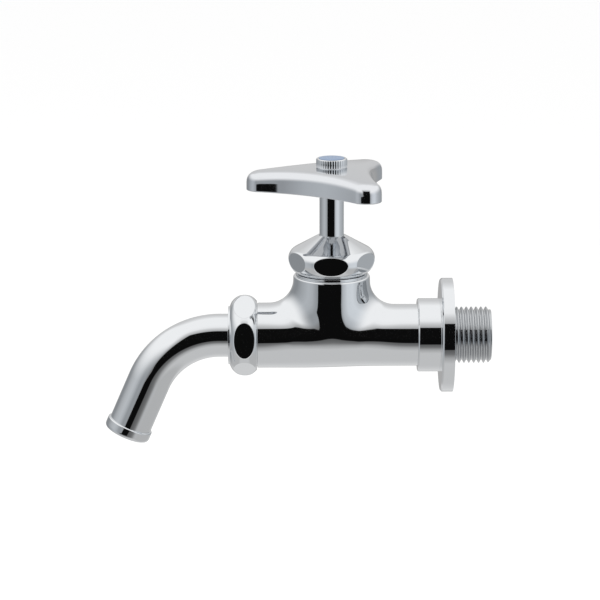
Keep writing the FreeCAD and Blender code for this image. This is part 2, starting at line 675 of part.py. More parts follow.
def on_bend(angle):
    """Point of the spout's centreline on the bend, the angle in degrees from its start."""
    turn = math.radians(angle)
    return vec(BEND_X - BEND_R * math.sin(turn), 0, BEND_R * math.cos(turn) - BEND_R)


def spout_end():
    """End of the tube's centreline and the direction that it points in."""
    bend = math.radians(BEND_ANGLE)
    onward = vec(-math.cos(bend), 0, -math.sin(bend))
    return on_bend(BEND_ANGLE) + onward * PIPE_STRAIGHT, onward


def spout_path():
    edges = [
        Part.LineSegment(vec(PIPE_INNER_X, 0, 0), on_bend(0)).toShape(),
        Part.Arc(on_bend(0), on_bend(BEND_ANGLE / 2), on_bend(BEND_ANGLE)).toShape(),
        Part.LineSegment(on_bend(BEND_ANGLE), spout_end()[0]).toShape(),
    ]
    return Part.Wire(edges)


def swept_disc(r, path):
    disc = Part.Face(Part.Wire(Part.makeCircle(r, vec(PIPE_INNER_X, 0, 0), X_AXIS)))
    return path.makePipe(disc)


def spout_pipe():
    path = spout_path()
    pipe = swept_disc(PIPE_R, path).cut(swept_disc(PIPE_R - PIPE_WALL, path))
    start, stop = retainer_place()
    groove = tube(PIPE_R + OVERLAP, PIPE_R - RETAINER_GROOVE_DEPTH, start - FIT, stop + FIT)
    return pipe.cut(along_x(groove))


def spout_mouth_ring():
    """Rounded ring brazed round the mouth, its lip turned in over the tube's end."""
    end, onward = spout_end()
    top = -MOUTH_RING_LENGTH + MOUTH_LIP
    ring = turned([
        (PIPE_R, top),
        (MOUTH_RING_R - MOUTH_RING_CHAMFER, top),
        (MOUTH_RING_R, top + MOUTH_RING_CHAMFER),
        (MOUTH_RING_R, 0),
        (MOUTH_RING_R - MOUTH_LIP, MOUTH_LIP, "arc"),
        (PIPE_R - PIPE_WALL, MOUTH_LIP),
        (PIPE_R - PIPE_WALL, 0),
        (PIPE_R, 0),
    ])
    turn = math.degrees(math.atan2(onward.x, onward.z))
    ring.rotate(ORIGIN, Y_AXIS, turn)
    ring.translate(end)
    return ring


def main():
    os.makedirs("parts", exist_ok=True)
    save(tap_body(), "tap_body")
    save(wall_flange(), "wall_flange")
    save(cap_nut(), "cap_nut")
    save(packing_washer(), "packing_washer")
    save(gland_packing(), "gland_packing")
    save(spindle(), "spindle")
    save(jumper_valve(), "jumper_valve")
    save(jumper_washer(), "jumper_washer")
    save(jumper_nut(), "jumper_nut")
    save(handle(), "handle")
    save(handle_screw(), "handle_screw")
    save(colour_index(), "colour_index")
    save(spout_nut(), "spout_nut")
    save(spout_slip_ring(), "spout_slip_ring")
    save(spout_retaining_ring(), "spout_retaining_ring")
    save(spout_seal(), "spout_seal")
    save(spout_pipe(), "spout_pipe")
    save(spout_mouth_ring(), "spout_mouth_ring")


main()
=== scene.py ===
import json
import math

import bmesh
import bpy
import numpy as np
from mathutils import Matrix, Vector


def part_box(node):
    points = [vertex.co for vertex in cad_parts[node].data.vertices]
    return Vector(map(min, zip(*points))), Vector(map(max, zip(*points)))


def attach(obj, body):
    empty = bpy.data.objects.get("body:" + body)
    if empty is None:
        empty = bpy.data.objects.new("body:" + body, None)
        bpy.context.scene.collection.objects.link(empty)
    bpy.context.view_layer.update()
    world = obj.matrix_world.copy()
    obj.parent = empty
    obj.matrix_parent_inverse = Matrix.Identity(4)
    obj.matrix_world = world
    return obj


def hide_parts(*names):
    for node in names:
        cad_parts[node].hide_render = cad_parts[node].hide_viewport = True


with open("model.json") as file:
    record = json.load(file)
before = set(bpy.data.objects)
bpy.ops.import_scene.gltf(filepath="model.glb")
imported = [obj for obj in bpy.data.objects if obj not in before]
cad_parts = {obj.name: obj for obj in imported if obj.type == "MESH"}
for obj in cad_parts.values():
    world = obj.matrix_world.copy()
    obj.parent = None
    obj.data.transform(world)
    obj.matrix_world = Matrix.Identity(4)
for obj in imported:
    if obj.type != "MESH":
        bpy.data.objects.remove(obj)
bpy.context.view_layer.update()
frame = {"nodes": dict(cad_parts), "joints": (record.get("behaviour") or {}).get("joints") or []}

bl_info = {
    "name": "Garden Tap",
    "version": (1, 0, 0),
    "blender": (4, 5, 0),
    "location": "3D View > Sidebar > Garden Tap",
    "description": "Builds a chrome-plated garden tap with a swinging spout round its packed frame",
    "category": "Add Mesh",
}

# Shapes are worked out in millimetres and turned to metres when a piece is finished
MM = 0.001

# Distances in mm: points that are one, a vertex that lies on a cut, a rim that lies at its place,
# and corners of a nut's flat that are one
MERGE = 0.0005
CUT_SLACK = MERGE / 10
RIM_SLACK = MERGE * 10
FLAT_MERGE = 0.02

# Steps in a full turn of a turned piece, of a nut, of a thread and of the tube
TURN_STEPS = 144
HEX_STEPS = 192
THREAD_STEPS = 72
TUBE_STEPS = 96

# Steps in the tube's bend, in each arc of the handle's outline, round its upper edge, over its crown
# and round its lower edge
BEND_STEPS = 32
ARC_STEPS = 36
EDGE_STEPS = 12
CROWN_STEPS = 10
LOWER_EDGE_STEPS = 3

# Steps in a nut's bulge, and in the roundings of the mouth ring, the casting's edges and a soft corner
BULGE_STEPS = 12
MOUTH_STEPS = 8
ROUNDING_STEPS = 5
SOFT_STEPS = 4

# Edges with a sharper turn than this stay sharp
SHARP = math.radians(30)
QUARTER = math.pi / 2

# Casting's skin: how far in mm its blank reaches past its ends, how often its net is laid on it and
# evened out, and how often its normals are evened out
BLANK_PAST = 4.0
LAY_ROUNDS = 3
EVEN_ROUNDS = 3
SOFTEN_ROUNDS = 30

# Reach in mm over which the skin's slope is taken, how near in mm a point on it lies, the least square
# of a slope that a point is moved by, and the cosine past which run and neck count as parallel
SLOPE_REACH = 0.01
SKIN_SLACK = 0.01
LEAST_SLOPE = 0.25
PARALLEL = 0.999

# Turns of thread beyond the tail's length, one at each end, that are cut off again
SPARE_TURNS = 2

# Flats of a nut, the depth of the rounding round each against its width, and the shares of that width
# and depth that each step of it takes
FLATS = 6
FLAT_DEPTH = 0.4
FLAT_STEPS = ((0.3, 0.5), (0.3, 0.3), (0.4, 0.2))

# Power of the handle edge's curve: 1 is an ellipse, less is fuller
EDGE_FULLNESS = 0.72

# Height of the outline that ends the rounding of the handle's lower edge, against that rounding
LOWER_EDGE_HOLD = 1.5

# Polished chrome: size of its patchy sheen in mm, and how far its roughness strays from the mean
SMUDGE_MM = 9.0
SHEEN_SPREAD = 0.3

# Light that the thin plate in the tail's thread gives back, against the rest, and half the width in mm
# over which it grows thin
THREAD_SHADE = 0.75
THREAD_FADE = 0.5

# Machined brass: width in mm of one band of its sheen, the radians that the wave texture runs through in
# one unit, and the least and greatest roughness of the bands
BAND_MM = 1.885
WAVE_RADIANS = 20
BAND_ROUGHNESS = (0.22, 0.38)

# Moulded pieces: how far the colour strays in the mottle, and the grain's height in mm and strength
MOTTLE = 0.08
GRAIN_HEIGHT = 0.01
GRAIN_STRENGTH = 0.5

# Brightness of the studio's paper tent by direction in degrees: first over the tap, from behind through
# below, the front and above, then round it, from behind through the left, the front and the right
TENT_OVER = ((-180, 0.36), (-165, 0.38), (-137, 0.72), (-100, 0.6), (-47, 0.6), (-35, 0.42), (-26, 0.18),
             (-19, 0.12), (37, 0.45), (48, 0.68), (58, 0.95), (71, 1), (118, 1), (132, 0.82),
             (150, 0.66), (172, 0.62), (180, 0.5))
TENT_ROUND = ((-180, 0.3), (-124, 0.3), (-97, 0.44), (-74, 0.54), (-60, 0.5), (-45, 0.36), (0, 0.4),
              (29, 0.5), (38, 0.6), (46, 0.74), (65, 0.78), (85, 0.58), (116, 0.45), (180, 0.3))

# Brightness of the tent's skirt, below the opening
TENT_SKIRT = 0.5

# Sideways part of a direction where the tent's arch begins to give way to its sides, and where it has,
# and upward part of one where the sides are white
WING_START = 0.36
WING_END = 0.55
WHITE_RISE = 0.6

# Height, in widths of the opening's soft edge, over which its foot narrows, and where its upper half
# begins and ends to reach further left
FOOT_FADE = 3
UPPER_START = -5
UPPER_END = 3

# Floor and lamp in metres, and width of the camera's sensor in millimetres
FLOOR_SIDE = 12
LAMP_WIDTH = 1.2
LAMP_DEPTH = 0.8
LAMP_PLACE = (-0.3, -0.2, 1.2)
SENSOR_WIDTH = 36

WHITE = (1, 1, 1)
UP = Vector((0, 0, 1))
CENTRE = Vector((0, 0, 0))

# Axes by their place in a vector
ALONG_X = 0
ALONG_Z = 2

# Places that the frame gives
HANDLE_JOINT = next(joint for joint in frame["joints"] if joint["name"] == "handle_turn")
NECK_X = HANDLE_JOINT["pos_m"][0] / MM
HANDLE_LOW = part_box("handle")[0] / MM
PIPE_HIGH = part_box("spout_pipe")[1] / MM
CAP_LOW, CAP_HIGH = (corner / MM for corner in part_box("cap_nut"))
SCREW_LOW, SCREW_HIGH = (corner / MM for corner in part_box("handle_screw"))
FLANGE_LOW, FLANGE_HIGH = (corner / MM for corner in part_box("wall_flange"))
BODY_LOW, BODY_HIGH = (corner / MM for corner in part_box("tap_body"))
SPINDLE_LOW, SPINDLE_HIGH = (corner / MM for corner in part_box("spindle"))
NUT_LOW, NUT_HIGH = (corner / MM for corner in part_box("spout_nut"))


# Settings


def length(name, description, mm):
    """A length property, given in millimetres and shown in the scene's unit."""
    return bpy.props.FloatProperty(
        name=name, description=description, default=mm * MM, min=0, precision=5, unit="LENGTH")


def angle(name, description, degrees):
    return bpy.props.FloatProperty(
        name=name, description=description, default=math.radians(degrees), subtype="ANGLE")


def number(name, description, default):
    return bpy.props.FloatProperty(name=name, description=description, default=default, min=0)


def count(name, description, default):
    return bpy.props.IntProperty(name=name, description=description, default=default, min=1)


def srgb(code):
    """Linear colour from an sRGB hex value, by the curve of the sRGB standard."""
    channels = [int(code[place:place + 2], 16) / 255 for place in (1, 3, 5)]
    return tuple(c / 12.92 if c <= 0.04045 else ((c + 0.055) / 1.055) ** 2.4 for c in channels)


def colour(name, description, code):
    return bpy.props.FloatVectorProperty(
        name=name, description=description, default=srgb(code), subtype="COLOR", size=3, min=0, max=1)


class TapBodySizes(bpy.types.PropertyGroup):
    run_radius_spout: length("Run radius, spout side", "Outer radius of the run towards the spout", 12.1)
    run_radius_wall: length("Run radius, wall side", "Outer radius of the run towards the wall", 11.5)
    shoulder: length("Shoulder", "From the valve axis to the shoulder behind the spout nut", 27.6)
    tail_shoulder: length("Tail shoulder", "From the wall to the shoulder inside the hub", 9.2)
    neck_radius: length("Neck radius", "Radius of the neck where it leaves the run", 14.7)
    neck_top_radius: length("Neck top radius", "Radius of the neck under its rounded rim", 14.2)
    neck_straight: length("Straight neck", "Height to which the neck doesn't taper", 4.0)
    neck_top: length("Neck top", "Height at which the neck turns over into its rim", 22.25)
    neck_rim: length("Neck rim", "Radius of the neck's rounded rim", 0.85)
    collar: length("Collar", "Height of the plain ring under the cap nut", 0.75)
    collar_edge: length("Collar edge", "Rounding of that ring's upper edge", 0.12)
    swell_start: length("Swell start", "From the valve axis to where the run begins to widen", 27.0)
    swell_end: length("Swell end", "From the valve axis to where it is as wide as the neck", 0.0)
    belly_lift: length("Belly lift", "Height of the widest line under the neck", 1.6)
    belly_end: length("Belly end", "From the valve axis to where that line has its full height", 12.0)
    blend: length("Blend", "Radius of the blend between neck and run", 9.0)
    edge: length("Edge", "Rounding of the casting's machined edges", 0.2)
    neck_thread: length("Neck thread", "Radius of the thread under the cap nut", 11.8)
    washer_pocket: length("Washer pocket", "Radius of the pocket for the packing washer", 9.3)
    washer_pocket_depth: length("Washer pocket depth", "Depth of that pocket", 1.5)
    stem_bore: length("Stem bore", "Radius of the neck's bore", 6.0)
    spout_thread: length("Spout thread", "Radius of the thread under the spout nut", 11.4)
    seal_pocket: length("Seal pocket", "Radius of the pocket for the spout's seal", 10.0)
    seal_pocket_depth: length("Seal pocket depth", "Depth of that pocket", 5.9)
    pipe_guide: length("Pipe guide", "Radius of the bore that guides the spout", 8.05)
    pipe_guide_depth: length("Pipe guide depth", "From the spout end to the guide's floor", 8.6)
    passage: length("Passage", "Radius of the water passage in the run", 8.5)
    passage_floor: length("Passage floor", "From the tail shoulder to the wide passage", 4.0)
    skin_grid: length("Skin grid", "Size of the faces of the casting's skin", 0.55)


class TailSizes(bpy.types.PropertyGroup):
    crest: length("Crest radius", "Outer radius of the pipe thread", 10.4775)
    depth: length("Thread depth", "From crest to root", 1.162)
    pitch: length("Pitch", "Distance from thread to thread, 14 to the inch", 25.4 / 14)
    flank: angle("Flank angle", "Slope of the thread's sides", 27.5)
    root_flat: length("Root flat", "Width of the groove's floor", 0.3)
    soft: length("Softness", "Rounding of crests and roots", 0.07)
    chamfer: length("Chamfer", "Chamfer at the tail's end", 1.2)
    bore: length("Bore", "Radius of the water way", 6.5)
    bore_chamfer: length("Bore chamfer", "Chamfer at the bore's mouth", 0.4)


class FlangeSizes(bpy.types.PropertyGroup):
    thickness: length("Flange thickness", "Thickness of the flange's disc", 4.65)
    chamfer: length("Flange chamfer", "Chamfer on the disc's front edge", 0.6)
    soft: length("Softness", "Rounding of the turned edges", 0.12)
    hub: length("Hub radius", "Outer radius of the hub", 13.65)
    hub_chamfer: length("Hub chamfer", "Chamfer at the hub's end", 0.4)
    bore: length("Bore", "Radius of the bore round the tail", 10.58)
    recess: length("Recess", "Radius of the recess round the run", 11.6)


class CapNutSizes(bpy.types.PropertyGroup):
    radius: length("Radius", "Widest radius of the cap nut", 16.0)
    foot: length("Foot radius", "Radius at its lower edge", 12.7)
    widest: length("Widest place", "Height of the widest place above the lower edge", 5.55)
    rim: length("Rim radius", "Radius of the rim round the stem", 5.0)
    cone: angle("Cone", "Fall of the cone on top", 29.5)
    across_flats: length("Across flats", "Width across the flats", 29.1)
    turn: angle("Turn", "How far the flats stand off the body's axis", -1.8)
    hole: length("Hole", "Radius of the hole for the stem", 4.6)
    thread: length("Thread", "Radius of the bore round the neck's thread", 11.85)
    thread_depth: length("Thread depth", "Depth of that bore", 7.55)
    rim_edge: length("Rim edge", "Rounding of the rim round the stem", 0.15)
    roof: length("Roof", "Thickness of the roof round the stem", 2.2)
    chamber: length("Chamber radius", "Radius of the chamber for the packing", 8.4)
    chamber_fall: length("Chamber fall", "Fall of the chamber's conical roof", 2.2)
    soft_edge: length("Soft edge", "Width of the rounding round each flat", 0.25)


class SpindleSizes(bpy.types.PropertyGroup):
    radius: length("Stem radius", "Radius of the plain stem", 4.5)
    foot: length("Foot radius", "Radius below the thread", 5.2)
    core: length("Thread core", "Radius of the thread's root", 5.9)
    crest: length("Thread crest", "Radius of the thread's crest", 7.0)
    pitch: length("Pitch", "Rise in one turn", 2.5)
    thread_start: length("Thread start", "Height of the thread's lower end above the foot", 5.5)
    turns: count("Turns", "Number of turns of thread", 4)
    ridge_root: length("Ridge root", "Width of the ridge at its root", 1.5)
    ridge_crest: length("Ridge crest", "Width of the ridge at its crest", 0.7)
    serrated: length("Serrated radius", "Radius of the serrated top", 4.0)
    serrated_length: length("Serrated length", "Length of the serrated top", 5.4)
    soft: length("Softness", "Rounding of the ends and the thread's crest", 0.1)
    ridge_sink: length("Ridge sink", "How far the ridge reaches into the core", 0.1)
    screw_hole: length("Upper hole", "Radius of the hole for the handle's screw", 2.05)
    screw_hole_depth: length("Upper hole depth", "Depth of that hole", 11.4)
    jumper_hole: length("Lower hole", "Radius of the hole for the jumper's stem", 2.95)
    jumper_hole_depth: length("Lower hole depth", "Depth of that hole", 12.0)


class HandleSizes(bpy.types.PropertyGroup):
    arms: count("Arms", "Number of arms", 3)
    arm: length("Arm", "From the valve axis to the centre of each tip", 25.8)
    tip: length("Tip radius", "Radius of each tip", 5.6)
    waist: length("Waist", "From the valve axis to the hollow sides", 15.0)
    crown: length("Crown radius", "Radius of the slightly domed top", 260.0)
    edge: length("Edge height", "Height of the upper edge's rounding", 4.4)
    edge_reach: length("Edge reach", "How far that rounding reaches in over the top", 5.2)
    wall: length("Wall", "Thickness of the hollow casting", 2.0)
    turn: angle("Turn", "Direction of the first arm", 178.0)
    boss: length("Boss radius", "Radius of the boss round the stem", 7.4)
    lower_edge: length("Lower edge", "Rounding of the lower edge", 0.35)
    height: length("Height", "Height over the crown", 8.6)
    roof: length("Roof", "Metal above the stem", 2.1)
    screw_way: length("Screw way", "Radius of the hole for the screw", 2.1)
    socket: length("Socket", "Radius of the serrated socket", 4.05)
    socket_start: length("Socket start", "Height of the socket above the lower edge", 1.0)
    stem_way: length("Stem way", "Radius of the hole round the stem", 4.55)


class HandleScrewSizes(bpy.types.PropertyGroup):
    radius: length("Head radius", "Radius of the knurled head", 5.72)
    height: length("Head height", "Height of the knurled head", 3.4)
    chamfer: length("Chamfer", "Chamfer above and below the knurls", 0.35)
    knurls: count("Knurls", "Number of grooves round the head", 44)
    knurl_depth: length("Knurl depth", "Depth of the grooves", 0.22)
    shank: length("Shank radius", "Radius of the screw's shank", 2.0)
    recess: length("Recess radius", "Radius of the recess for the disc", 4.75)
    recess_depth: length("Recess depth", "Depth of the recess", 0.45)
    disc: length("Disc radius", "Radius of the coloured disc", 4.7)
    disc_thickness: length("Disc thickness", "Thickness of the coloured disc", 0.6)
    disc_edge: length("Disc edge", "Rounding of the disc's edge", 0.1)


class SpoutNutSizes(bpy.types.PropertyGroup):
    radius: length("Radius", "Widest radius of the barrel", 15.1)
    wall_side: length("Wall side", "From the widest place to the end towards the wall", 4.5)
    wall_side_radius: length("Wall end radius", "Radius of that end", 12.8)
    pipe_side: length("Pipe side", "From the widest place to the collar", 5.5)
    pipe_side_radius: length("Pipe end radius", "Radius at the collar", 11.0)
    collar_step: length("Collar step", "Step from the barrel down to the collar", 0.2)
    across_flats: length("Across flats", "Width across the flats", 26.8)
    turn: angle("Turn", "How far the front flat is turned up", 4.8)
    hole: length("Hole", "Radius of the hole for the pipe", 8.1)
    thread: length("Thread", "Radius of the bore round the body's thread", 11.45)
    lip: length("Lip", "Thickness of the end that holds the rings", 1.7)
    soft: length("Softness", "Rounding of the end's edges", 0.12)
    soft_edge: length("Soft edge", "Width of the rounding round each flat", 0.25)


class SpoutSizes(bpy.types.PropertyGroup):
    radius: length("Pipe radius", "Outer radius of the tube", 8.0)
    wall: length("Wall", "Thickness of the tube", 1.2)
    groove: length("Groove depth", "Depth of the groove for the split ring", 0.6)
    groove_width: length("Groove width", "Width of that groove", 1.3)
    groove_place: length("Groove place", "From the tube's inner end to the groove", 7.5)
    bend_start: length("Bend start", "From the wall to where the tube bends", 86.6)
    bend_radius: length("Bend radius", "Radius of the bend's centreline", 29.0)
    bend: angle("Bend", "How far the tube bends down", 66.5)
    straight: length("Straight end", "Straight length after the bend", 21.1)
    mouth: length("Mouth ring radius", "Outer radius of the ring round the mouth", 8.7)
    mouth_length: length("Mouth ring length", "Length of that ring", 4.0)
    mouth_lip: length("Mouth lip", "How far the ring reaches past the tube's end", 0.9)
    mouth_low: length("Mouth roundness", "Length of the rounding at the ring's open end", 1.3)
    mouth_up: length("Mouth shoulder", "Length of the rounding at the ring's upper end", 0.5)
    soft: length("Softness", "Rounding of the ring's edges", 0.08)


class FinishColours(bpy.types.PropertyGroup):
    chrome: colour("Chrome", "Colour of the plating", "#E3E5E7")
    chrome_handle: colour("Handle chrome", "Colour of the handle's plating", "#DFE1E4")
    brass: colour("Brass", "Colour of the machined brass", "#C9A25A")
    rubber: colour("Rubber", "Colour of washers and packing", "#1D1C1B")
    white_plastic: colour("White plastic", "Colour of the slip washer", "#E9E6DD")
    blue_disc: colour("Blue disc", "Colour of the disc in the handle screw", "#7D91AD")


class StageSettings(bpy.types.PropertyGroup):
    camera_x: bpy.props.FloatProperty(
        name="Camera across", description="Camera's place along the tap", default=-0.06, unit="LENGTH")
    camera_distance: length("Camera distance", "From the tap's axis to the camera", 990.0)
    camera_height: length("Camera height", "Above the tap's axis", 247.0)
    camera_yaw: angle("Camera yaw", "Turn of the view to the left", -0.19)
    camera_pitch: angle("Camera pitch", "Tilt of the view downwards", 13.276)
    camera_roll: angle("Camera roll", "Tilt of the picture", -0.08)
    lens: bpy.props.FloatProperty(
        name="Lens", description="Focal length on a 36 mm frame", default=164.28, min=1, unit="CAMERA")
    floor_drop: length("Floor", "Depth of the floor under the tap's axis", 300.0)
    floor: colour("Floor", "Colour of the floor", "#FDFDFD")
    world: number("Surroundings", "Brightness of the white surroundings", 1.0)
    tent: number("Tent", "Brightness of the paper tent that the chrome shows", 1.08)
    shade: colour("Shade", "Tint of the tent's shaded wings", "#F5FAFF")
    lamp: number("Lamp", "Power of the big soft lamp above, in watts", 6.0)
    opening_left: angle("Opening left", "Left edge of the dark opening at its foot", -42)
    opening_inner: angle("Opening inner", "Left edge of the dark opening above its foot", -19)
    opening_upper: angle("Opening upper", "How much further left it reaches in its upper half", 6)
    opening_right: angle("Opening right", "Right edge of the dark opening", 28)
    opening_foot: angle("Opening foot", "Top of the opening's wide foot", -8)
    opening_low: angle("Opening low", "Lower edge of the dark opening", -18)
    opening_high: angle("Opening high", "Upper edge of the dark opening", 36.5)
    opening_edge: angle("Opening edge", "Softness of the opening's edges", 1.5)
    opening: number("Opening", "Brightness inside the opening", 0.004)


class Millimetres:
    """Reads a property group's lengths in millimetres; angles and counts come from its group."""

    def __init__(self, group):
        self.group = group

    def __getattr__(self, name):
        return getattr(self.group, name) / MM


# Shaping


def wire(points, closed=False):
    """Line in the XZ plane through (radius, height) points. A third value rounds that corner."""
    bm = bmesh.new()
    verts = [bm.verts.new((point[0], 0, point[1])) for point in points]
    for first, second in zip(verts, verts[1:]):
        bm.edges.new((first, second))
    if closed:
        bm.edges.new((verts[-1], verts[0]))
    for vert, point in zip(verts, points):
        if len(point) == 3:
            bmesh.ops.bevel(bm, geom=[vert], offset=point[2], segments=SOFT_STEPS, profile=0.5,
                            affect="VERTICES", material=-1)
    return bm


def turned(points, closed=True, steps=TURN_STEPS):
    """Turned shape about Z from (radius, height) points. A third value rounds that corner."""
    bm = wire(points, closed)
    bmesh.ops.spin(bm, geom=bm.verts[:] + bm.edges[:], cent=CENTRE, axis=UP, angle=math.tau,
                   steps=steps, use_merge=True)
    close_up(bm)
    return bm


def close_up(bm):
    """Merge doubles at seams and poles and turn every face outwards."""
    bmesh.ops.remove_doubles(bm, verts=bm.verts[:], dist=MERGE)
    bmesh.ops.recalc_face_normals(bm, faces=bm.faces[:])


def steps_to(whole, steps, first=1):
    """Equal steps up to the whole; the first is 0 to start from nothing."""
    return [whole * step / steps for step in range(first, steps + 1)]


def polar(out, turn, height=0):
    """Point at a distance from the Z axis, in a direction and at a height."""
    return Vector((out * math.cos(turn), out * math.sin(turn), height))


def bulge(widest, end):
    """Points after the widest one on an arc that runs parallel to the axis there."""
    rise = end[1] - widest[1]
    drop = widest[0] - end[0]
    radius = (rise * rise + drop * drop) / (2 * drop)
    sweep = math.atan2(abs(rise), radius - drop)
    points = []
    for turn in steps_to(sweep, BULGE_STEPS):
        height = widest[1] + math.copysign(radius * math.sin(turn), rise)
        points.append((widest[0] - radius + radius * math.cos(turn), height))
    return points


def shift(bm, x=0, y=0, z=0):
    bmesh.ops.translate(bm, verts=bm.verts[:], vec=(x, y, z))
    return bm


def along_x(bm):
    """Lay a shape made about Z along X, its height becoming the X position."""
    bmesh.ops.rotate(bm, verts=bm.verts[:], cent=CENTRE, matrix=Matrix.Rotation(QUARTER, 3, "Y"))
    return bm


def add_shape(bm, other):
    """Add another shape's faces to this one."""
    mesh = bpy.data.meshes.new("shape")
    other.to_mesh(mesh)
    other.free()
    bm.from_mesh(mesh)
    bpy.data.meshes.remove(mesh)


def rim_at(bm, place, axis):
    """Open edges whose two ends lie at a place along an axis."""
    rim = []
    for edge in bm.edges:
        if edge.is_boundary and all(abs(vert.co[axis] - place) < RIM_SLACK for vert in edge.verts):
            rim.append(edge)
    return rim


def grow(bm, rim):
    """Extrude an open rim; gives its new vertices and its new open edges."""
    grown = bmesh.ops.extrude_edge_only(bm, edges=rim)["geom"]
    verts = [item for item in grown if isinstance(item, bmesh.types.BMVert)]
    edges = [item for item in grown if isinstance(item, bmesh.types.BMEdge)]
    return verts, [edge for edge in edges if edge.is_boundary]


def carry_on(bm, rim, centre, axis, points):
    """Carry a round rim on through (radius, place) points about an axis, as on a lathe."""
    for radius, place in points:
        verts, rim = grow(bm, rim)
        for vert in verts:
            out = vert.co - centre
            out[axis] = 0
            vert.co = centre + out.normalized() * radius
            vert.co[axis] = place
    return rim


def cut_away(bm, place, normal):
    """Cut a shape along a plane and take away what lies beyond; gives what the cut made."""
    cut = bmesh.ops.bisect_plane(bm, geom=bm.verts[:] + bm.edges[:] + bm.faces[:], dist=CUT_SLACK,
                                 plane_co=place, plane_no=normal, clear_outer=True)
    return cut["geom_cut"]


def cut_flats(bm, across, turn, soft):
    """Cut six flats round Z, each with a rim that rounds into it."""
    depth = soft * FLAT_DEPTH
    level = across / 2 + depth
    for side in range(FLATS):
        out = Matrix.Rotation(turn + math.radians(360 / FLATS * side), 3, "Z") @ Vector((1, 0, 0))
        cut = cut_away(bm, out * level, out)
        corners = [item for item in cut if isinstance(item, bmesh.types.BMVert)]
        bmesh.ops.remove_doubles(bm, verts=corners, dist=FLAT_MERGE)
        rim = []
        for edge in bm.edges:
            off = [abs(vert.co.dot(out) - level) for vert in edge.verts]
            if edge.is_boundary and max(off) < FLAT_MERGE:
                rim.append(edge)
        ends = {vert for edge in rim for vert in edge.verts}
        middle = sum((vert.co for vert in ends), Vector()) / len(ends)
        for width, fall in FLAT_STEPS:
            verts, rim = grow(bm, rim)
            for vert in verts:
                inward = middle - vert.co
                inward -= out * inward.dot(out)
                vert.co += inward.normalized() * soft * width - out * depth * fall
        bmesh.ops.contextual_create(bm, geom=rim)
    bmesh.ops.recalc_face_normals(bm, faces=bm.faces[:])


def new_mesh(name, bm, material):
    """Mesh in metres from a shape in millimetres, smooth except at its sharp edges."""
    bmesh.ops.scale(bm, vec=(MM, MM, MM), verts=bm.verts[:])
    mesh = bpy.data.meshes.new(name)
    bm.to_mesh(mesh)
    bm.free()
    mesh.materials.append(material)
    mesh.shade_smooth()
    mesh.set_sharp_from_angle(angle=SHARP)
    return mesh


def new_object(name, mesh):
    piece = bpy.data.objects.new(name, mesh)
    bpy.context.scene.collection.objects.link(piece)
    return piece


def new_piece(name, mesh, body, slot, *nodes):
    """Piece of the tap that rides on a body and stands for the nodes named."""
    piece = new_object(name, mesh)
    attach(piece, body)
    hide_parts(*nodes)
    return piece


def weigh_normals(piece):
    """Keep flat faces flat beside small roundings."""
    modifier = piece.modifiers.new("Weighted Normal", "WEIGHTED_NORMAL")
    modifier.keep_sharp = True


# Materials


def add_node(tree, kind, settings=None, links=None):
    """Add a node, set its properties or inputs by name, and link inputs to (node, output) pairs."""
    node = tree.nodes.new(kind)
    for name, value in (settings or {}).items():
        if isinstance(name, str) and hasattr(node, name):
            setattr(node, name, value)
        else:
            node.inputs[name].default_value = value
    for name, (source, output) in (links or {}).items():
        tree.links.new(source.outputs[output], node.inputs[name])
    return node


def new_material(name):
    material = bpy.data.materials.new(name)
    material.use_nodes = True
    tree = material.node_tree
    tree.nodes.clear()
    return material, tree


def plated(name, tint, roughness, wave_mm, wave_height_mm):
    """Chrome plate: near-mirror metal, long faint waves from the polishing wheel, patchy sheen."""
    material, tree = new_material(name)
    place = add_node(tree, "ShaderNodeTexCoord")
    wave = add_node(tree, "ShaderNodeTexNoise", {"Scale": 1 / (wave_mm * MM), "Detail": 1.0},
                    {"Vector": (place, "Object")})
    smudge = add_node(tree, "ShaderNodeTexNoise", {"Scale": 1 / (SMUDGE_MM * MM), "Detail": 3.0},
                      {"Vector": (place, "Object")})
    sheen = add_node(tree, "ShaderNodeMapRange", {
        "To Min": roughness * (1 - SHEEN_SPREAD), "To Max": roughness * (1 + SHEEN_SPREAD)}, {
        "Value": (smudge, "Fac")})
    bump = add_node(tree, "ShaderNodeBump", {"Strength": 1.0, "Distance": wave_height_mm * MM},
                    {"Height": (wave, "Fac")})
    shader = add_node(tree, "ShaderNodeBsdfPrincipled", {"Base Color": (*tint, 1), "Metallic": 1.0},
                      {"Roughness": (sheen, "Result"), "Normal": (bump, "Normal")})
    add_node(tree, "ShaderNodeOutputMaterial", None, {"Surface": (shader, "BSDF")})
    return material


def dull_thread(material, tint):
    """Darken plate past the wall face, where it lies thin and grey in the cut thread."""
    tree = material.node_tree
    place = add_node(tree, "ShaderNodeTexCoord")
    along = add_node(tree, "ShaderNodeSeparateXYZ", None, {"Vector": (place, "Object")})
    past = add_node(tree, "ShaderNodeMapRange", {
        "From Min": -THREAD_FADE * MM, "From Max": THREAD_FADE * MM}, {"Value": (along, "X")})
    thin = tuple(channel * THREAD_SHADE for channel in tint)
    mix = add_node(tree, "ShaderNodeMix", {
        "data_type": "RGBA", "A": (*tint, 1), "B": (*thin, 1)}, {"Factor": (past, "Result")})
    tree.links.new(mix.outputs["Result"], tree.nodes["Principled BSDF"].inputs["Base Color"])
    return material


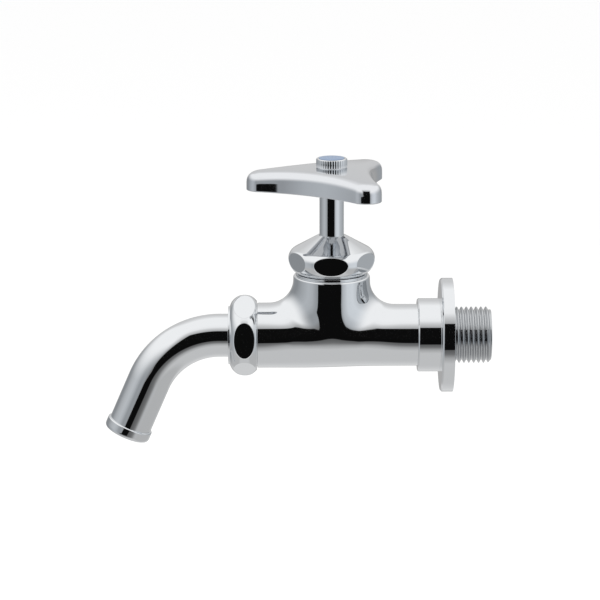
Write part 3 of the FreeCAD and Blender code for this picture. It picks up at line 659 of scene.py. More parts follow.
def turned_brass(tint):
    """Plain brass as it leaves the lathe: warm metal whose sheen changes in bands.

    The bands are drawn wider than real tool marks, which would be too fine to show.
    """
    material, tree = new_material("machined_brass")
    place = add_node(tree, "ShaderNodeTexCoord")
    bands = add_node(tree, "ShaderNodeTexWave", {
        "Scale": math.tau / (WAVE_RADIANS * BAND_MM * MM), "Distortion": 1.0}, {
        "Vector": (place, "Object")})
    least, greatest = BAND_ROUGHNESS
    sheen = add_node(tree, "ShaderNodeMapRange", {"To Min": least, "To Max": greatest}, {
        "Value": (bands, "Fac")})
    shader = add_node(tree, "ShaderNodeBsdfPrincipled", {"Base Color": (*tint, 1), "Metallic": 1.0},
                      {"Roughness": (sheen, "Result")})
    add_node(tree, "ShaderNodeOutputMaterial", None, {"Surface": (shader, "BSDF")})
    return material


def moulded(name, tint, roughness, grain_mm):
    """Moulded rubber or plastic: even colour with a faint mottle and a fine moulded grain."""
    material, tree = new_material(name)
    place = add_node(tree, "ShaderNodeTexCoord")
    grain = add_node(tree, "ShaderNodeTexNoise", {"Scale": 1 / (grain_mm * MM), "Detail": 3.0},
                     {"Vector": (place, "Object")})
    darker = tuple(channel * (1 - MOTTLE) for channel in tint)
    lighter = tuple(min(channel * (1 + MOTTLE), 1) for channel in tint)
    mottle = add_node(tree, "ShaderNodeMix", {
        "data_type": "RGBA", "A": (*darker, 1), "B": (*lighter, 1)}, {"Factor": (grain, "Fac")})
    bump = add_node(tree, "ShaderNodeBump", {"Strength": GRAIN_STRENGTH, "Distance": GRAIN_HEIGHT * MM},
                    {"Height": (grain, "Fac")})
    shader = add_node(tree, "ShaderNodeBsdfPrincipled", {"Roughness": roughness},
                      {"Base Color": (mottle, "Result"), "Normal": (bump, "Normal")})
    add_node(tree, "ShaderNodeOutputMaterial", None, {"Surface": (shader, "BSDF")})
    return material


def finish(name):
    """Material of that name, made when it is first asked for."""
    if name in bpy.data.materials:
        return bpy.data.materials[name]
    colours = bpy.context.scene.tap_colours
    # Brass cast in sand and polished by hand: a mirror whose reflections swim a little
    if name == "chrome_on_cast_brass":
        plate = plated(name, colours.chrome, roughness=0.035, wave_mm=7.0, wave_height_mm=0.006)
        return dull_thread(plate, colours.chrome)
    # Brass bar off the lathe: the evenest surface and the sharpest reflections
    if name == "chrome_on_turned_brass":
        return plated(name, colours.chrome, roughness=0.03, wave_mm=5.0, wave_height_mm=0.002)
    # Tube drawn and then bent: sharp reflections with long soft waves
    if name == "chrome_on_drawn_tube":
        return plated(name, colours.chrome, roughness=0.03, wave_mm=9.0, wave_height_mm=0.004)
    # Cast handle, polished less: its reflections are softer and a little darker
    if name == "chrome_on_cast_handle":
        return plated(name, colours.chrome_handle, roughness=0.06, wave_mm=6.0, wave_height_mm=0.006)
    # Turned stem, rubbed by the packing: even, with slightly soft reflections
    if name == "chrome_on_stem":
        return plated(name, colours.chrome, roughness=0.04, wave_mm=5.0, wave_height_mm=0.002)
    if name == "machined_brass":
        return turned_brass(colours.brass)
    # Black washers from a mould: dark and dull
    if name == "moulded_rubber":
        return moulded(name, colours.rubber, roughness=0.75, grain_mm=0.5)
    # Hard slip washer from a mould: off-white with a broad sheen
    if name == "moulded_white_plastic":
        return moulded(name, colours.white_plastic, roughness=0.45, grain_mm=0.8)
    # Disc from a smooth mould: pale blue with a clear sheen
    if name == "moulded_blue_plastic":
        return moulded(name, colours.blue_disc, roughness=0.3, grain_mm=0.8)
    raise ValueError("no finish is named " + name)


# Casting's skin


def smooth_step(value, start, end):
    """Ease from 0 at the start to 1 at the end."""
    share = np.clip((value - start) / (end - start), 0, 1)
    return share * share * (3 - 2 * share)


def run_radius(x, sizes):
    """Radius of the run, easing from the spout side to the wall side under the neck."""
    step = sizes.run_radius_wall - sizes.run_radius_spout
    reach = sizes.neck_radius
    return sizes.run_radius_spout + step * smooth_step(x, NECK_X - reach, NECK_X + reach)


def run_skin(points, sizes):
    """Distance outside the run, which widens under the neck, and its slopes in Y and Z."""
    x, y, z = points.T
    across = np.abs(x - NECK_X)
    radius = run_radius(x, sizes)
    wide = 1 + (sizes.neck_radius / radius - 1) * smooth_step(across, sizes.swell_start, sizes.swell_end)
    raised = sizes.belly_lift * smooth_step(across, sizes.swell_start, sizes.belly_end)
    off = z - raised
    tall = radius / (radius - raised * np.sign(off))
    out = np.hypot(y / wide, off * tall)
    slope_y, slope_z = y / (wide * wide * out), off * tall * tall / out
    steep = np.hypot(slope_y, slope_z)
    return (out - radius) / steep, slope_y / steep, slope_z / steep


def neck_skin(points, sizes):
    """Distance outside the neck, which ends below as half an ellipsoid, and its slopes in Y and Z."""
    x, y, z = points.T
    out = np.hypot(x - NECK_X, y)
    drop = sizes.neck_radius - sizes.neck_top_radius
    above = np.maximum(z - sizes.neck_straight, 0)
    gap = out - sizes.neck_radius + above * drop / (sizes.neck_top - sizes.neck_straight)
    depth = run_radius(NECK_X, sizes) + sizes.belly_lift
    sunk = z - sizes.belly_lift
    scaled = np.hypot(out / sizes.neck_radius, sunk / depth)
    steep = np.hypot(out / sizes.neck_radius ** 2, sunk / depth ** 2)
    below = sunk < 0
    gap = np.where(below, scaled * (scaled - 1) / steep, gap)
    outwards = np.where(below, out / sizes.neck_radius ** 2 / steep, 1.0)
    return gap, y / out * outwards, np.where(below, sunk / depth ** 2 / steep, 0.0)


def skin_gap(points, sizes):
    """Distance outside the casting's skin: run and neck, with a ball rolled along between them."""
    run_gap, run_y, run_z = run_skin(points, sizes)
    neck_gap, neck_y, neck_z = neck_skin(points, sizes)
    facing = np.clip(run_y * neck_y + run_z * neck_z, -PARALLEL, PARALLEL)
    to_run = sizes.blend - run_gap
    to_neck = sizes.blend - neck_gap
    square = to_run * to_run + to_neck * to_neck - 2 * to_run * to_neck * facing
    to_ball = np.sqrt(square / (1 - facing * facing))
    rolled = (to_run > 0) & (to_neck > 0) & (to_neck > to_run * facing) & (to_run > to_neck * facing)
    return np.where(rolled, sizes.blend - to_ball, np.minimum(run_gap, neck_gap))


def skin_normal(points, sizes):
    """Steepest direction away from the skin, not of unit length."""
    slopes = []
    for axis in range(3):
        offset = np.zeros(3)
        offset[axis] = SLOPE_REACH
        rise = skin_gap(points + offset, sizes) - skin_gap(points - offset, sizes)
        slopes.append(rise / (2 * SLOPE_REACH))
    return np.stack(slopes, axis=1)


def onto_skin(bm, sizes):
    """Move every vertex onto the casting's skin."""
    points = np.array([vert.co for vert in bm.verts])
    for _ in range(LAY_ROUNDS):
        normal = skin_normal(points, sizes)
        gap = skin_gap(points, sizes)
        steepness = np.maximum((normal * normal).sum(axis=1), LEAST_SLOPE)
        points = points - normal * (gap / steepness)[:, None]
    for vert, point in zip(bm.verts, points):
        vert.co = point


def casting_blank(sizes):
    """Run and neck as two crossing bars, made one closed net of even faces."""
    run_low = NECK_X - sizes.shoulder - BLANK_PAST
    run_high = BLANK_PAST - sizes.tail_shoulder
    neck_high = sizes.neck_top + BLANK_PAST
    bar = along_x(turned([
        (0, run_low),
        (sizes.run_radius_spout, run_low),
        (sizes.run_radius_spout, NECK_X - sizes.neck_radius),
        (sizes.run_radius_wall, NECK_X + sizes.neck_radius),
        (sizes.run_radius_wall, run_high),
        (0, run_high),
    ], closed=False))
    neck = turned([
        (0, -sizes.run_radius_wall),
        *reversed(bulge((sizes.neck_radius, 0), (sizes.run_radius_wall / 2, -sizes.run_radius_wall))),
        (sizes.neck_radius, 0),
        (sizes.neck_top_radius, neck_high),
        (0, neck_high),
    ], closed=False)
    add_shape(bar, shift(neck, x=NECK_X))
    mesh = bpy.data.meshes.new("casting_blank")
    bar.to_mesh(mesh)
    bar.free()
    blank = new_object("casting_blank", mesh)
    remesh = blank.modifiers.new("Remesh", "REMESH")
    remesh.mode = "VOXEL"
    remesh.voxel_size = sizes.skin_grid
    remesh.adaptivity = 0
    evaluated = blank.evaluated_get(bpy.context.evaluated_depsgraph_get())
    net = bmesh.new()
    net.from_mesh(evaluated.data)
    bpy.data.objects.remove(blank)
    bpy.data.meshes.remove(mesh)
    return net


def cut_off(bm, place, axis, outward=1):
    """Cut a shape square to an axis and take away what lies beyond, outward being 1 or -1."""
    normal = Vector((0, 0, 0))
    normal[axis] = outward
    cut_away(bm, normal * place * outward, normal)


def rounding(radius, place, edge, way=1):
    """Quarter round from a bar's side onto its end face, way being 1 or -1 as that faces the axis."""
    points = []
    for turn in steps_to(QUARTER, ROUNDING_STEPS):
        out = radius - edge + edge * math.cos(turn)
        points.append((out, place + way * (edge * math.sin(turn) - edge)))
    return points


def tail_thread(body, tail):
    """Tail with its wound pipe thread, chamfered end and bore, about Z."""
    root = tail.crest - tail.depth
    slope = math.tan(tail.group.flank) * tail.depth
    half = tail.root_flat / 2
    profile = [
        (root, 0),
        (root, half, tail.soft),
        (tail.crest, half + slope, tail.soft),
        (tail.crest, tail.pitch - half - slope, tail.soft),
        (root, tail.pitch - half, tail.soft),
        (root, tail.pitch),
    ]
    end = BODY_HIGH.x
    start = -body.tail_shoulder
    turns = math.ceil((end - start) / tail.pitch) + SPARE_TURNS
    bm = wire(profile)
    bmesh.ops.spin(bm, geom=bm.verts[:] + bm.edges[:], cent=CENTRE, axis=UP, angle=math.tau * turns,
                   dvec=(0, 0, tail.pitch / THREAD_STEPS), steps=THREAD_STEPS * turns)
    shift(bm, z=start - tail.pitch)
    close_up(bm)
    cut_off(bm, end, ALONG_Z)
    cut_off(bm, start, ALONG_Z, outward=-1)
    for vert in bm.verts:
        limit = tail.crest - max(0, vert.co.z - (end - tail.chamfer))
        out = math.hypot(vert.co.x, vert.co.y)
        if out > limit:
            vert.co.x *= limit / out
            vert.co.y *= limit / out
    inner = carry_on(bm, rim_at(bm, end, ALONG_Z), CENTRE, ALONG_Z, [
        (tail.bore + tail.bore_chamfer, end),
        (tail.bore, end - tail.bore_chamfer),
        (tail.bore, start),
    ])
    outer = [edge for edge in rim_at(bm, start, ALONG_Z) if edge not in inner]
    carry_on(bm, outer, CENTRE, ALONG_Z, [(tail.bore, start)])
    close_up(bm)
    return bm


def machine_neck(net, sizes):
    """Carry the neck's rim on over its collar and thread and down into its pocket and bore."""
    rim_z = sizes.neck_top + sizes.neck_rim
    collar_z = rim_z + sizes.collar
    pocket_z = BODY_HIGH.z - sizes.washer_pocket_depth
    carry_on(net, rim_at(net, sizes.neck_top, ALONG_Z), Vector((NECK_X, 0, 0)), ALONG_Z, [
        *rounding(sizes.neck_top_radius, rim_z, sizes.neck_rim),
        *rounding(sizes.neck_top_radius - sizes.neck_rim, collar_z, sizes.collar_edge),
        (sizes.neck_thread, collar_z),
        *rounding(sizes.neck_thread, BODY_HIGH.z, sizes.edge),
        (sizes.washer_pocket, BODY_HIGH.z),
        (sizes.washer_pocket, pocket_z),
        (sizes.stem_bore, pocket_z),
        (sizes.stem_bore, sizes.run_radius_wall),
        (0, sizes.run_radius_wall),
    ])


def machine_spout_end(net, sizes, bore):
    """Carry the run's rim on over its shoulder and thread and into its seal pocket, guide and bore."""
    shoulder_x = NECK_X - sizes.shoulder
    end_x = BODY_LOW.x
    pocket_x = end_x + sizes.seal_pocket_depth
    guide_x = end_x + sizes.pipe_guide_depth
    blind_x = NECK_X - sizes.neck_radius
    carry_on(net, rim_at(net, shoulder_x + sizes.edge, ALONG_X), CENTRE, ALONG_X, [
        *rounding(sizes.run_radius_spout, shoulder_x, sizes.edge, way=-1),
        (sizes.spout_thread, shoulder_x),
        *rounding(sizes.spout_thread, end_x, sizes.edge, way=-1),
        (sizes.seal_pocket, end_x),
        (sizes.seal_pocket, pocket_x),
        (sizes.pipe_guide, pocket_x),
        (sizes.pipe_guide, guide_x),
        (bore, guide_x),
        (bore, blind_x),
        (0, blind_x),
    ])


def machine_wall_end(net, sizes, bore):
    """Carry the run's rim at the wall side on into its bore and water passage."""
    tail_x = -sizes.tail_shoulder
    floor_x = tail_x - sizes.passage_floor
    blind_x = NECK_X + sizes.neck_radius
    carry_on(net, rim_at(net, tail_x, ALONG_X), CENTRE, ALONG_X, [
        (bore, tail_x),
        (bore, floor_x),
        (sizes.passage, floor_x),
        (sizes.passage, blind_x),
        (0, blind_x),
    ])


def tap_body_mesh(sizes, tail):
    """Casting with its skin, machined ends, bores and threaded tail."""
    net = casting_blank(sizes)
    onto_skin(net, sizes)
    for _ in range(EVEN_ROUNDS):
        bmesh.ops.smooth_vert(net, verts=net.verts[:], factor=0.5, use_axis_x=True, use_axis_y=True,
                              use_axis_z=True)
    onto_skin(net, sizes)
    cut_off(net, NECK_X - sizes.shoulder + sizes.edge, ALONG_X, outward=-1)
    cut_off(net, -sizes.tail_shoulder, ALONG_X)
    cut_off(net, sizes.neck_top, ALONG_Z)
    machine_neck(net, sizes)
    machine_spout_end(net, sizes, tail.bore)
    machine_wall_end(net, sizes, tail.bore)
    close_up(net)
    add_shape(net, along_x(tail_thread(sizes, tail)))
    mesh = new_mesh("tap_body", net, finish("chrome_on_cast_brass"))
    smooth_skin(mesh, sizes)
    return mesh


def smooth_skin(mesh, sizes):
    """Give the skin's face corners the normals of the true surface, evened out as by polishing."""
    points = np.array([vert.co for vert in mesh.vertices]) / MM
    on_skin = np.abs(skin_gap(points, sizes)) < SKIN_SLACK
    on_skin &= points[:, 0] > NECK_X - sizes.shoulder + sizes.edge - SKIN_SLACK
    on_skin &= points[:, 0] < SKIN_SLACK - sizes.tail_shoulder
    on_skin &= points[:, 2] < sizes.neck_top + SKIN_SLACK
    normals = skin_normal(points, sizes)
    normals /= np.maximum(np.linalg.norm(normals, axis=1), SKIN_SLACK)[:, None]
    ends = np.array([edge.vertices for edge in mesh.edges])
    ends = ends[on_skin[ends].all(axis=1)]
    for _ in range(SOFTEN_ROUNDS):
        total = normals.copy()
        np.add.at(total, ends[:, 0], normals[ends[:, 1]])
        np.add.at(total, ends[:, 1], normals[ends[:, 0]])
        normals = total / np.maximum(np.linalg.norm(total, axis=1), SKIN_SLACK)[:, None]
    corners = np.zeros((len(mesh.loops), 3))
    for face in mesh.polygons:
        if on_skin[list(face.vertices)].all():
            for corner in face.loop_indices:
                corners[corner] = normals[mesh.loops[corner].vertex_index]
    mesh.normals_split_custom_set(corners.tolist())


# Turned and lofted pieces


def flange_mesh(sizes, body):
    front = -sizes.thickness
    outline = [
        (sizes.recess, FLANGE_LOW.x),
        (sizes.hub - sizes.hub_chamfer, FLANGE_LOW.x, sizes.soft),
        (sizes.hub, FLANGE_LOW.x + sizes.hub_chamfer, sizes.soft),
        (sizes.hub, front, sizes.soft),
        (FLANGE_HIGH.z - sizes.chamfer, front, sizes.soft),
        (FLANGE_HIGH.z, front + sizes.chamfer, sizes.soft),
        (FLANGE_HIGH.z, 0, sizes.soft),
        (sizes.bore, 0, sizes.soft),
        (sizes.bore, -body.tail_shoulder),
        (sizes.recess, -body.tail_shoulder),
    ]
    return new_mesh("wall_flange", along_x(turned(outline)), finish("chrome_on_turned_brass"))


def cap_nut_mesh(sizes):
    bottom, top = CAP_LOW.z, CAP_HIGH.z
    widest = bottom + sizes.widest
    cone = sizes.group.cone
    fall = math.tan(cone)
    drop = top - widest - fall * (sizes.radius - sizes.rim)
    round_r = drop / (math.cos(cone) + math.sin(cone) * fall - fall)
    inward = sizes.radius - round_r
    shoulder = []
    for turn in steps_to(QUARTER - cone, BULGE_STEPS, first=0):
        shoulder.append((inward + round_r * math.cos(turn), widest + round_r * math.sin(turn)))
    outline = [
        (sizes.thread, bottom),
        *reversed(bulge((sizes.radius, widest), (sizes.foot, bottom))),
        *shoulder,
        (sizes.rim, top, sizes.rim_edge),
        (sizes.hole, top, sizes.rim_edge),
        (sizes.hole, top - sizes.roof),
        (sizes.chamber, top - sizes.roof - sizes.chamber_fall),
        (sizes.chamber, bottom + sizes.thread_depth),
        (sizes.thread, bottom + sizes.thread_depth),
    ]
    nut = turned(outline, steps=HEX_STEPS)
    cut_flats(nut, sizes.across_flats, sizes.group.turn - QUARTER, sizes.soft_edge)
    return new_mesh("cap_nut", shift(nut, x=NECK_X), finish("chrome_on_turned_brass"))


def spout_nut_mesh(sizes):
    widest = NUT_HIGH.x - sizes.wall_side
    collar_x = widest - sizes.pipe_side
    collar = sizes.pipe_side_radius - sizes.collar_step
    outline = [
        (sizes.hole, NUT_LOW.x, sizes.soft),
        (collar, NUT_LOW.x, sizes.soft),
        (collar, collar_x),
        *reversed(bulge((sizes.radius, widest), (sizes.pipe_side_radius, collar_x))),
        (sizes.radius, widest),
        *bulge((sizes.radius, widest), (sizes.wall_side_radius, NUT_HIGH.x)),
        (sizes.thread, NUT_HIGH.x),
        (sizes.thread, NUT_LOW.x + sizes.lip),
        (sizes.hole, NUT_LOW.x + sizes.lip),
    ]
    nut = turned(outline, steps=HEX_STEPS)
    cut_flats(nut, sizes.across_flats, QUARTER - sizes.group.turn, sizes.soft_edge)
    return new_mesh("spout_nut", along_x(nut), finish("chrome_on_turned_brass"))


def loft(loops, closed=False):
    """Skin over loops of equally many points, each a closed ring."""
    bm = bmesh.new()
    rings = [[bm.verts.new(point) for point in loop] for loop in loops]
    following = rings[1:] + rings[:1] if closed else rings[1:]
    for ring, onward in zip(rings, following):
        for place, vert in enumerate(ring):
            beside = place - 1
            bm.faces.new((vert, ring[beside], onward[beside], onward[place]))
    return bm


def spindle_mesh(sizes):
    bottom, top = SPINDLE_LOW.z, SPINDLE_HIGH.z
    half_root = sizes.ridge_root / 2
    half_crest = sizes.ridge_crest / 2
    thread_z = bottom + sizes.thread_start
    core_z = thread_z - half_root
    core_top = thread_z + sizes.group.turns * sizes.pitch + half_root
    serrated_z = top - sizes.serrated_length
    stem = turned([
        (sizes.jumper_hole, bottom),
        (sizes.foot, bottom, sizes.soft),
        (sizes.foot, core_z),
        (sizes.core, core_z),
        (sizes.core, core_top),
        (sizes.radius, core_top),
        (sizes.radius, serrated_z),
        (sizes.serrated, serrated_z),
        (sizes.serrated, top, sizes.soft),
        (sizes.screw_hole, top),
        (sizes.screw_hole, top - sizes.screw_hole_depth),
        (0, top - sizes.screw_hole_depth),
        (0, bottom + sizes.jumper_hole_depth),
        (sizes.jumper_hole, bottom + sizes.jumper_hole_depth),
    ])
    root = sizes.core - sizes.ridge_sink
    ridge = wire([
        (root, -half_root),
        (sizes.crest, -half_crest, sizes.soft),
        (sizes.crest, half_crest, sizes.soft),
        (root, half_root),
    ])
    bmesh.ops.contextual_create(ridge, geom=ridge.edges[:])
    bmesh.ops.spin(ridge, geom=ridge.faces[:], cent=CENTRE, axis=UP,
                   angle=math.tau * sizes.group.turns, dvec=(0, 0, sizes.pitch / THREAD_STEPS),
                   steps=THREAD_STEPS * sizes.group.turns)
    close_up(ridge)
    add_shape(stem, shift(ridge, z=thread_z))
    return new_mesh("spindle", shift(stem, x=NECK_X), finish("chrome_on_stem"))


def arc(start, middle, end):
    """Points after the first one on the arc through three points in a level plane."""
    near, far = middle - start, end - start
    cross = 2 * (near.x * far.y - near.y * far.x)
    near_square, far_square = near.x * near.x + near.y * near.y, far.x * far.x + far.y * far.y
    centre = start + Vector(((far.y * near_square - near.y * far_square) / cross,
                             (near.x * far_square - far.x * near_square) / cross, 0))
    radius = (start - centre).length
    first = math.atan2(start.y - centre.y, start.x - centre.x)
    sweep = math.atan2(end.y - centre.y, end.x - centre.x) - first
    sweep = sweep % math.tau if cross > 0 else -(-sweep % math.tau)
    return [centre + polar(radius, first + turn) for turn in steps_to(sweep, ARC_STEPS)]


def star_loop(sizes, inset, height):
    """Outline with round tips and hollow sides, drawn in by an inset.

    Each hollow side is an arc that touches the tips of the arms beside it.
    """
    tip_r = sizes.tip - inset
    waist = sizes.waist - inset
    half_step = math.pi / sizes.group.arms
    across = sizes.arm * math.cos(half_step)
    beside = sizes.arm * math.sin(half_step)
    gap = waist - across
    side_r = (gap * gap + beside * beside - tip_r * tip_r) / (2 * (tip_r - gap))
    share = side_r / (side_r + tip_r)
    touch_x = waist + side_r + (across - waist - side_r) * share
    touch_y = beside * share
    touch_r = math.hypot(touch_x, touch_y)
    touch_turn = half_step - math.atan2(touch_y, touch_x)
    loop = []
    for arm in range(sizes.group.arms):
        along = sizes.group.turn + 2 * half_step * arm
        before = polar(touch_r, along - touch_turn, height)
        after = polar(touch_r, along + touch_turn, height)
        onward = polar(touch_r, along + 2 * half_step - touch_turn, height)
        loop += arc(before, polar(sizes.arm + tip_r, along, height), after)
        loop += arc(after, polar(waist, along + half_step, height), onward)
    return loop


def like(loop, radius, height):
    """Circle whose points lie in the same directions as a loop's."""
    return [Vector((point.x, point.y, 0)).normalized() * radius + UP * height for point in loop]


def crowned(loop, sizes):
    """Loop let down by the crown's fall."""
    drop = 2 * sizes.crown
    return [point - UP * ((point.x ** 2 + point.y ** 2) / drop) for point in loop]


def shell_loops(sizes, inset, reach, edge, top, inner_r):
    """Loops up a side, round an edge and over the crown to a circle."""
    loops = []
    for turn in steps_to(QUARTER, EDGE_STEPS, first=0):
        out, up = math.cos(turn) ** EDGE_FULLNESS, math.sin(turn) ** EDGE_FULLNESS
        outline = star_loop(sizes, inset + reach - reach * out, top - edge + edge * up)
        loops.append(crowned(outline, sizes))
    rim = star_loop(sizes, inset + reach, top)
    circle = like(rim, inner_r, top)
    for share in steps_to(1, CROWN_STEPS):
        blended = [outer.lerp(inner, share) for outer, inner in zip(rim, circle)]
        loops.append(crowned(blended, sizes))
    return loops


def handle_mesh(sizes):
    """Hollow handle: up its outside, down through its socket and out under its shell."""
    bottom = HANDLE_LOW.z
    top = bottom + sizes.height
    low = sizes.lower_edge
    outside = shell_loops(sizes, 0, sizes.edge_reach, sizes.edge, top, sizes.screw_way)
    inner_edge = sizes.edge - sizes.wall
    inside = shell_loops(sizes, sizes.wall, inner_edge, inner_edge, top - sizes.wall, sizes.boss)
    outline = star_loop(sizes, 0, bottom)
    lower = []
    for turn in steps_to(QUARTER, LOWER_EDGE_STEPS):
        height = bottom + low - low * math.cos(turn)
        lower.append(star_loop(sizes, low - low * math.sin(turn), height))
    lower.append(star_loop(sizes, 0, bottom + LOWER_EDGE_HOLD * low))
    loops = [
        *lower,
        *outside,
        like(outline, sizes.screw_way, top - sizes.roof),
        like(outline, sizes.socket, top - sizes.roof),
        like(outline, sizes.socket, bottom + sizes.socket_start),
        like(outline, sizes.stem_way, bottom + sizes.socket_start),
        like(outline, sizes.stem_way, bottom),
        like(outline, sizes.boss, bottom),
        *reversed(inside),
        star_loop(sizes, sizes.wall, bottom),
        star_loop(sizes, low, bottom),
    ]
    shape = loft(loops, closed=True)
    bmesh.ops.recalc_face_normals(shape, faces=shape.faces[:])
    return new_mesh("handle", shift(shape, x=NECK_X), finish("chrome_on_cast_handle"))


def knurled(crest, valley, height, knurls):
    """Ring whose points lie by turns on a crest and in a valley."""
    loop = []
    for step in range(2 * knurls):
        loop.append(polar(valley if step % 2 else crest, math.pi * step / knurls, height))
    return loop


def handle_screw_mesh(sizes):
    top = SCREW_HIGH.z
    seat = top - sizes.height
    crest = sizes.radius
    valley = crest - sizes.knurl_depth
    narrow = crest - sizes.chamfer
    rings = [
        (0, 0, SCREW_LOW.z),
        (sizes.shank, sizes.shank, SCREW_LOW.z),
        (sizes.shank, sizes.shank, seat),
        (narrow, narrow, seat),
        (valley, valley, seat + sizes.chamfer - sizes.knurl_depth),
        (crest, valley, seat + sizes.chamfer),
        (crest, valley, top - sizes.chamfer),
        (valley, valley, top - sizes.chamfer + sizes.knurl_depth),
        (narrow, narrow, top),
        (sizes.recess, sizes.recess, top),
        (sizes.recess, sizes.recess, top - sizes.recess_depth),
        (0, 0, top - sizes.recess_depth),
    ]
    shape = loft([knurled(*ring, sizes.group.knurls) for ring in rings])
    close_up(shape)
    return new_mesh("handle_screw", shift(shape, x=NECK_X), finish("chrome_on_turned_brass"))


def colour_disc_mesh(sizes):
    bottom = SCREW_HIGH.z - sizes.recess_depth
    top = bottom + sizes.disc_thickness
    disc = turned([(0, bottom), (sizes.disc, bottom), (sizes.disc, top, sizes.disc_edge), (0, top)],
                  closed=False)
    return new_mesh("colour_index", shift(disc, x=NECK_X), finish("moulded_blue_plastic"))


def spout_stations(sizes, start_x):
    """Places and directions along the tube's centreline, from its inner end to its mouth."""
    bend_x = -sizes.bend_start
    stations = [(Vector((start_x, 0, 0)), 0.0)]
    for turn in steps_to(sizes.group.bend, BEND_STEPS, first=0):
        centre = Vector((bend_x - sizes.bend_radius * math.sin(turn), 0,
                         sizes.bend_radius * (math.cos(turn) - 1)))
        stations.append((centre, turn))
    last, turn = stations[-1]
    onward = Vector((-math.cos(turn), 0, -math.sin(turn)))
    stations.append((last + onward * sizes.straight, turn))
    return stations


def tube_loop(radius, station):
    """Ring square to the tube's centreline."""
    centre, turn = station
    facing = Matrix.Rotation(-turn, 3, "Y")
    ring = []
    for step in range(TUBE_STEPS):
        way_round = math.tau * step / TUBE_STEPS
        across = Vector((0, radius * math.cos(way_round), radius * math.sin(way_round)))
        ring.append(centre + facing @ across)
    return ring


def spout_pipe_mesh(sizes):
    inner_x = PIPE_HIGH.x
    stations = spout_stations(sizes, inner_x)
    bore = sizes.radius - sizes.wall
    groove_x = inner_x - sizes.groove_place
    groove_end = groove_x - sizes.groove_width
    floor = sizes.radius - sizes.groove
    outside = [tube_loop(sizes.radius, stations[0])]
    for radius, place in ((sizes.radius, groove_x), (floor, groove_x), (floor, groove_end),
                          (sizes.radius, groove_end)):
        outside.append(tube_loop(radius, (Vector((place, 0, 0)), 0.0)))
    outside += [tube_loop(sizes.radius, station) for station in stations[1:]]
    inside = [tube_loop(bore, station) for station in reversed(stations)]
    shape = loft(outside + inside, closed=True)
    bmesh.ops.recalc_face_normals(shape, faces=shape.faces[:])
    return new_mesh("spout_pipe", shape, finish("chrome_on_drawn_tube"))


def mouth_ring_mesh(sizes):
    """Rounded ring round the mouth, its lip turned in over the tube's end."""
    low = sizes.mouth_lip - sizes.mouth_length
    bore = sizes.radius - sizes.wall
    proud = sizes.mouth - sizes.radius
    shoulder, lip = [], []
    for turn in steps_to(QUARTER, MOUTH_STEPS):
        out = sizes.radius + proud * math.sin(turn)
        shoulder.append((out, low + sizes.mouth_up * (1 - math.cos(turn))))
        lip.append((out, sizes.mouth_lip - sizes.mouth_low * (1 - math.cos(turn))))
    shape = turned([
        (sizes.radius, low),
        *shoulder,
        *reversed(lip),
        (sizes.radius, sizes.mouth_lip, sizes.soft),
        (bore, sizes.mouth_lip, sizes.soft),
        (bore, 0),
        (sizes.radius, 0),
    ])
    end, turn = spout_stations(sizes, PIPE_HIGH.x)[-1]
    facing = Matrix.Rotation(-turn - QUARTER, 3, "Y")
    bmesh.ops.rotate(shape, verts=shape.verts[:], cent=CENTRE, matrix=facing)
    return new_mesh("spout_mouth_ring", shift(shape, x=end.x, z=end.z), finish("chrome_on_drawn_tube"))


# Operators


class PieceOperator(bpy.types.Operator):
    """Adds pieces of the tap to the scene."""

    bl_options = {"REGISTER", "UNDO"}

    def sizes(self, context, name):
        return Millimetres(getattr(context.scene, name))


class OBJECT_OT_tap_body(PieceOperator):
    """Add the cast body with its threaded tail"""

    bl_idname = "object.tap_body"
    bl_label = "Tap Body"

    def execute(self, context):
        body = self.sizes(context, "tap_body")
        tail = self.sizes(context, "tap_tail")
        new_piece("body_casting", tap_body_mesh(body, tail), "root", "chrome_body", "tap_body")
        return {"FINISHED"}


class OBJECT_OT_tap_flange(PieceOperator):
    """Add the round wall flange and its hub"""

    bl_idname = "object.tap_flange"
    bl_label = "Wall Flange"

    def execute(self, context):
        mesh = flange_mesh(self.sizes(context, "tap_flange"), self.sizes(context, "tap_body"))
        weigh_normals(new_piece("flange", mesh, "root", "chrome_turned", "wall_flange"))
        return {"FINISHED"}


class OBJECT_OT_tap_cap_nut(PieceOperator):
    """Add the six-sided cap nut on the neck"""

    bl_idname = "object.tap_cap_nut"
    bl_label = "Cap Nut"

    def execute(self, context):
        mesh = cap_nut_mesh(self.sizes(context, "tap_cap_nut"))
        weigh_normals(new_piece("neck_nut", mesh, "root", "chrome_turned", "cap_nut"))
        return {"FINISHED"}


class OBJECT_OT_tap_spindle(PieceOperator):
    """Add the stem with its coarse thread"""

    bl_idname = "object.tap_spindle"
    bl_label = "Spindle"

    def execute(self, context):
        mesh = spindle_mesh(self.sizes(context, "tap_spindle"))
        weigh_normals(new_piece("valve_stem", mesh, "stem", "chrome_stem", "spindle"))
        return {"FINISHED"}


class OBJECT_OT_tap_handle(PieceOperator):
    """Add the three-armed handle"""

    bl_idname = "object.tap_handle"
    bl_label = "Handle"

    def execute(self, context):
        mesh = handle_mesh(self.sizes(context, "tap_handle"))
        new_piece("three_arm_handle", mesh, "stem", "chrome_handle", "handle")
        return {"FINISHED"}


class OBJECT_OT_tap_handle_screw(PieceOperator):
    """Add the knurled screw and its coloured disc"""

    bl_idname = "object.tap_handle_screw"
    bl_label = "Handle Screw"

    def execute(self, context):
        sizes = self.sizes(context, "tap_handle_screw")
        new_piece("knurled_screw", handle_screw_mesh(sizes), "stem", "chrome_turned", "handle_screw")
        disc = new_piece("blue_disc", colour_disc_mesh(sizes), "stem", "blue_plastic", "colour_index")
        weigh_normals(disc)
        return {"FINISHED"}


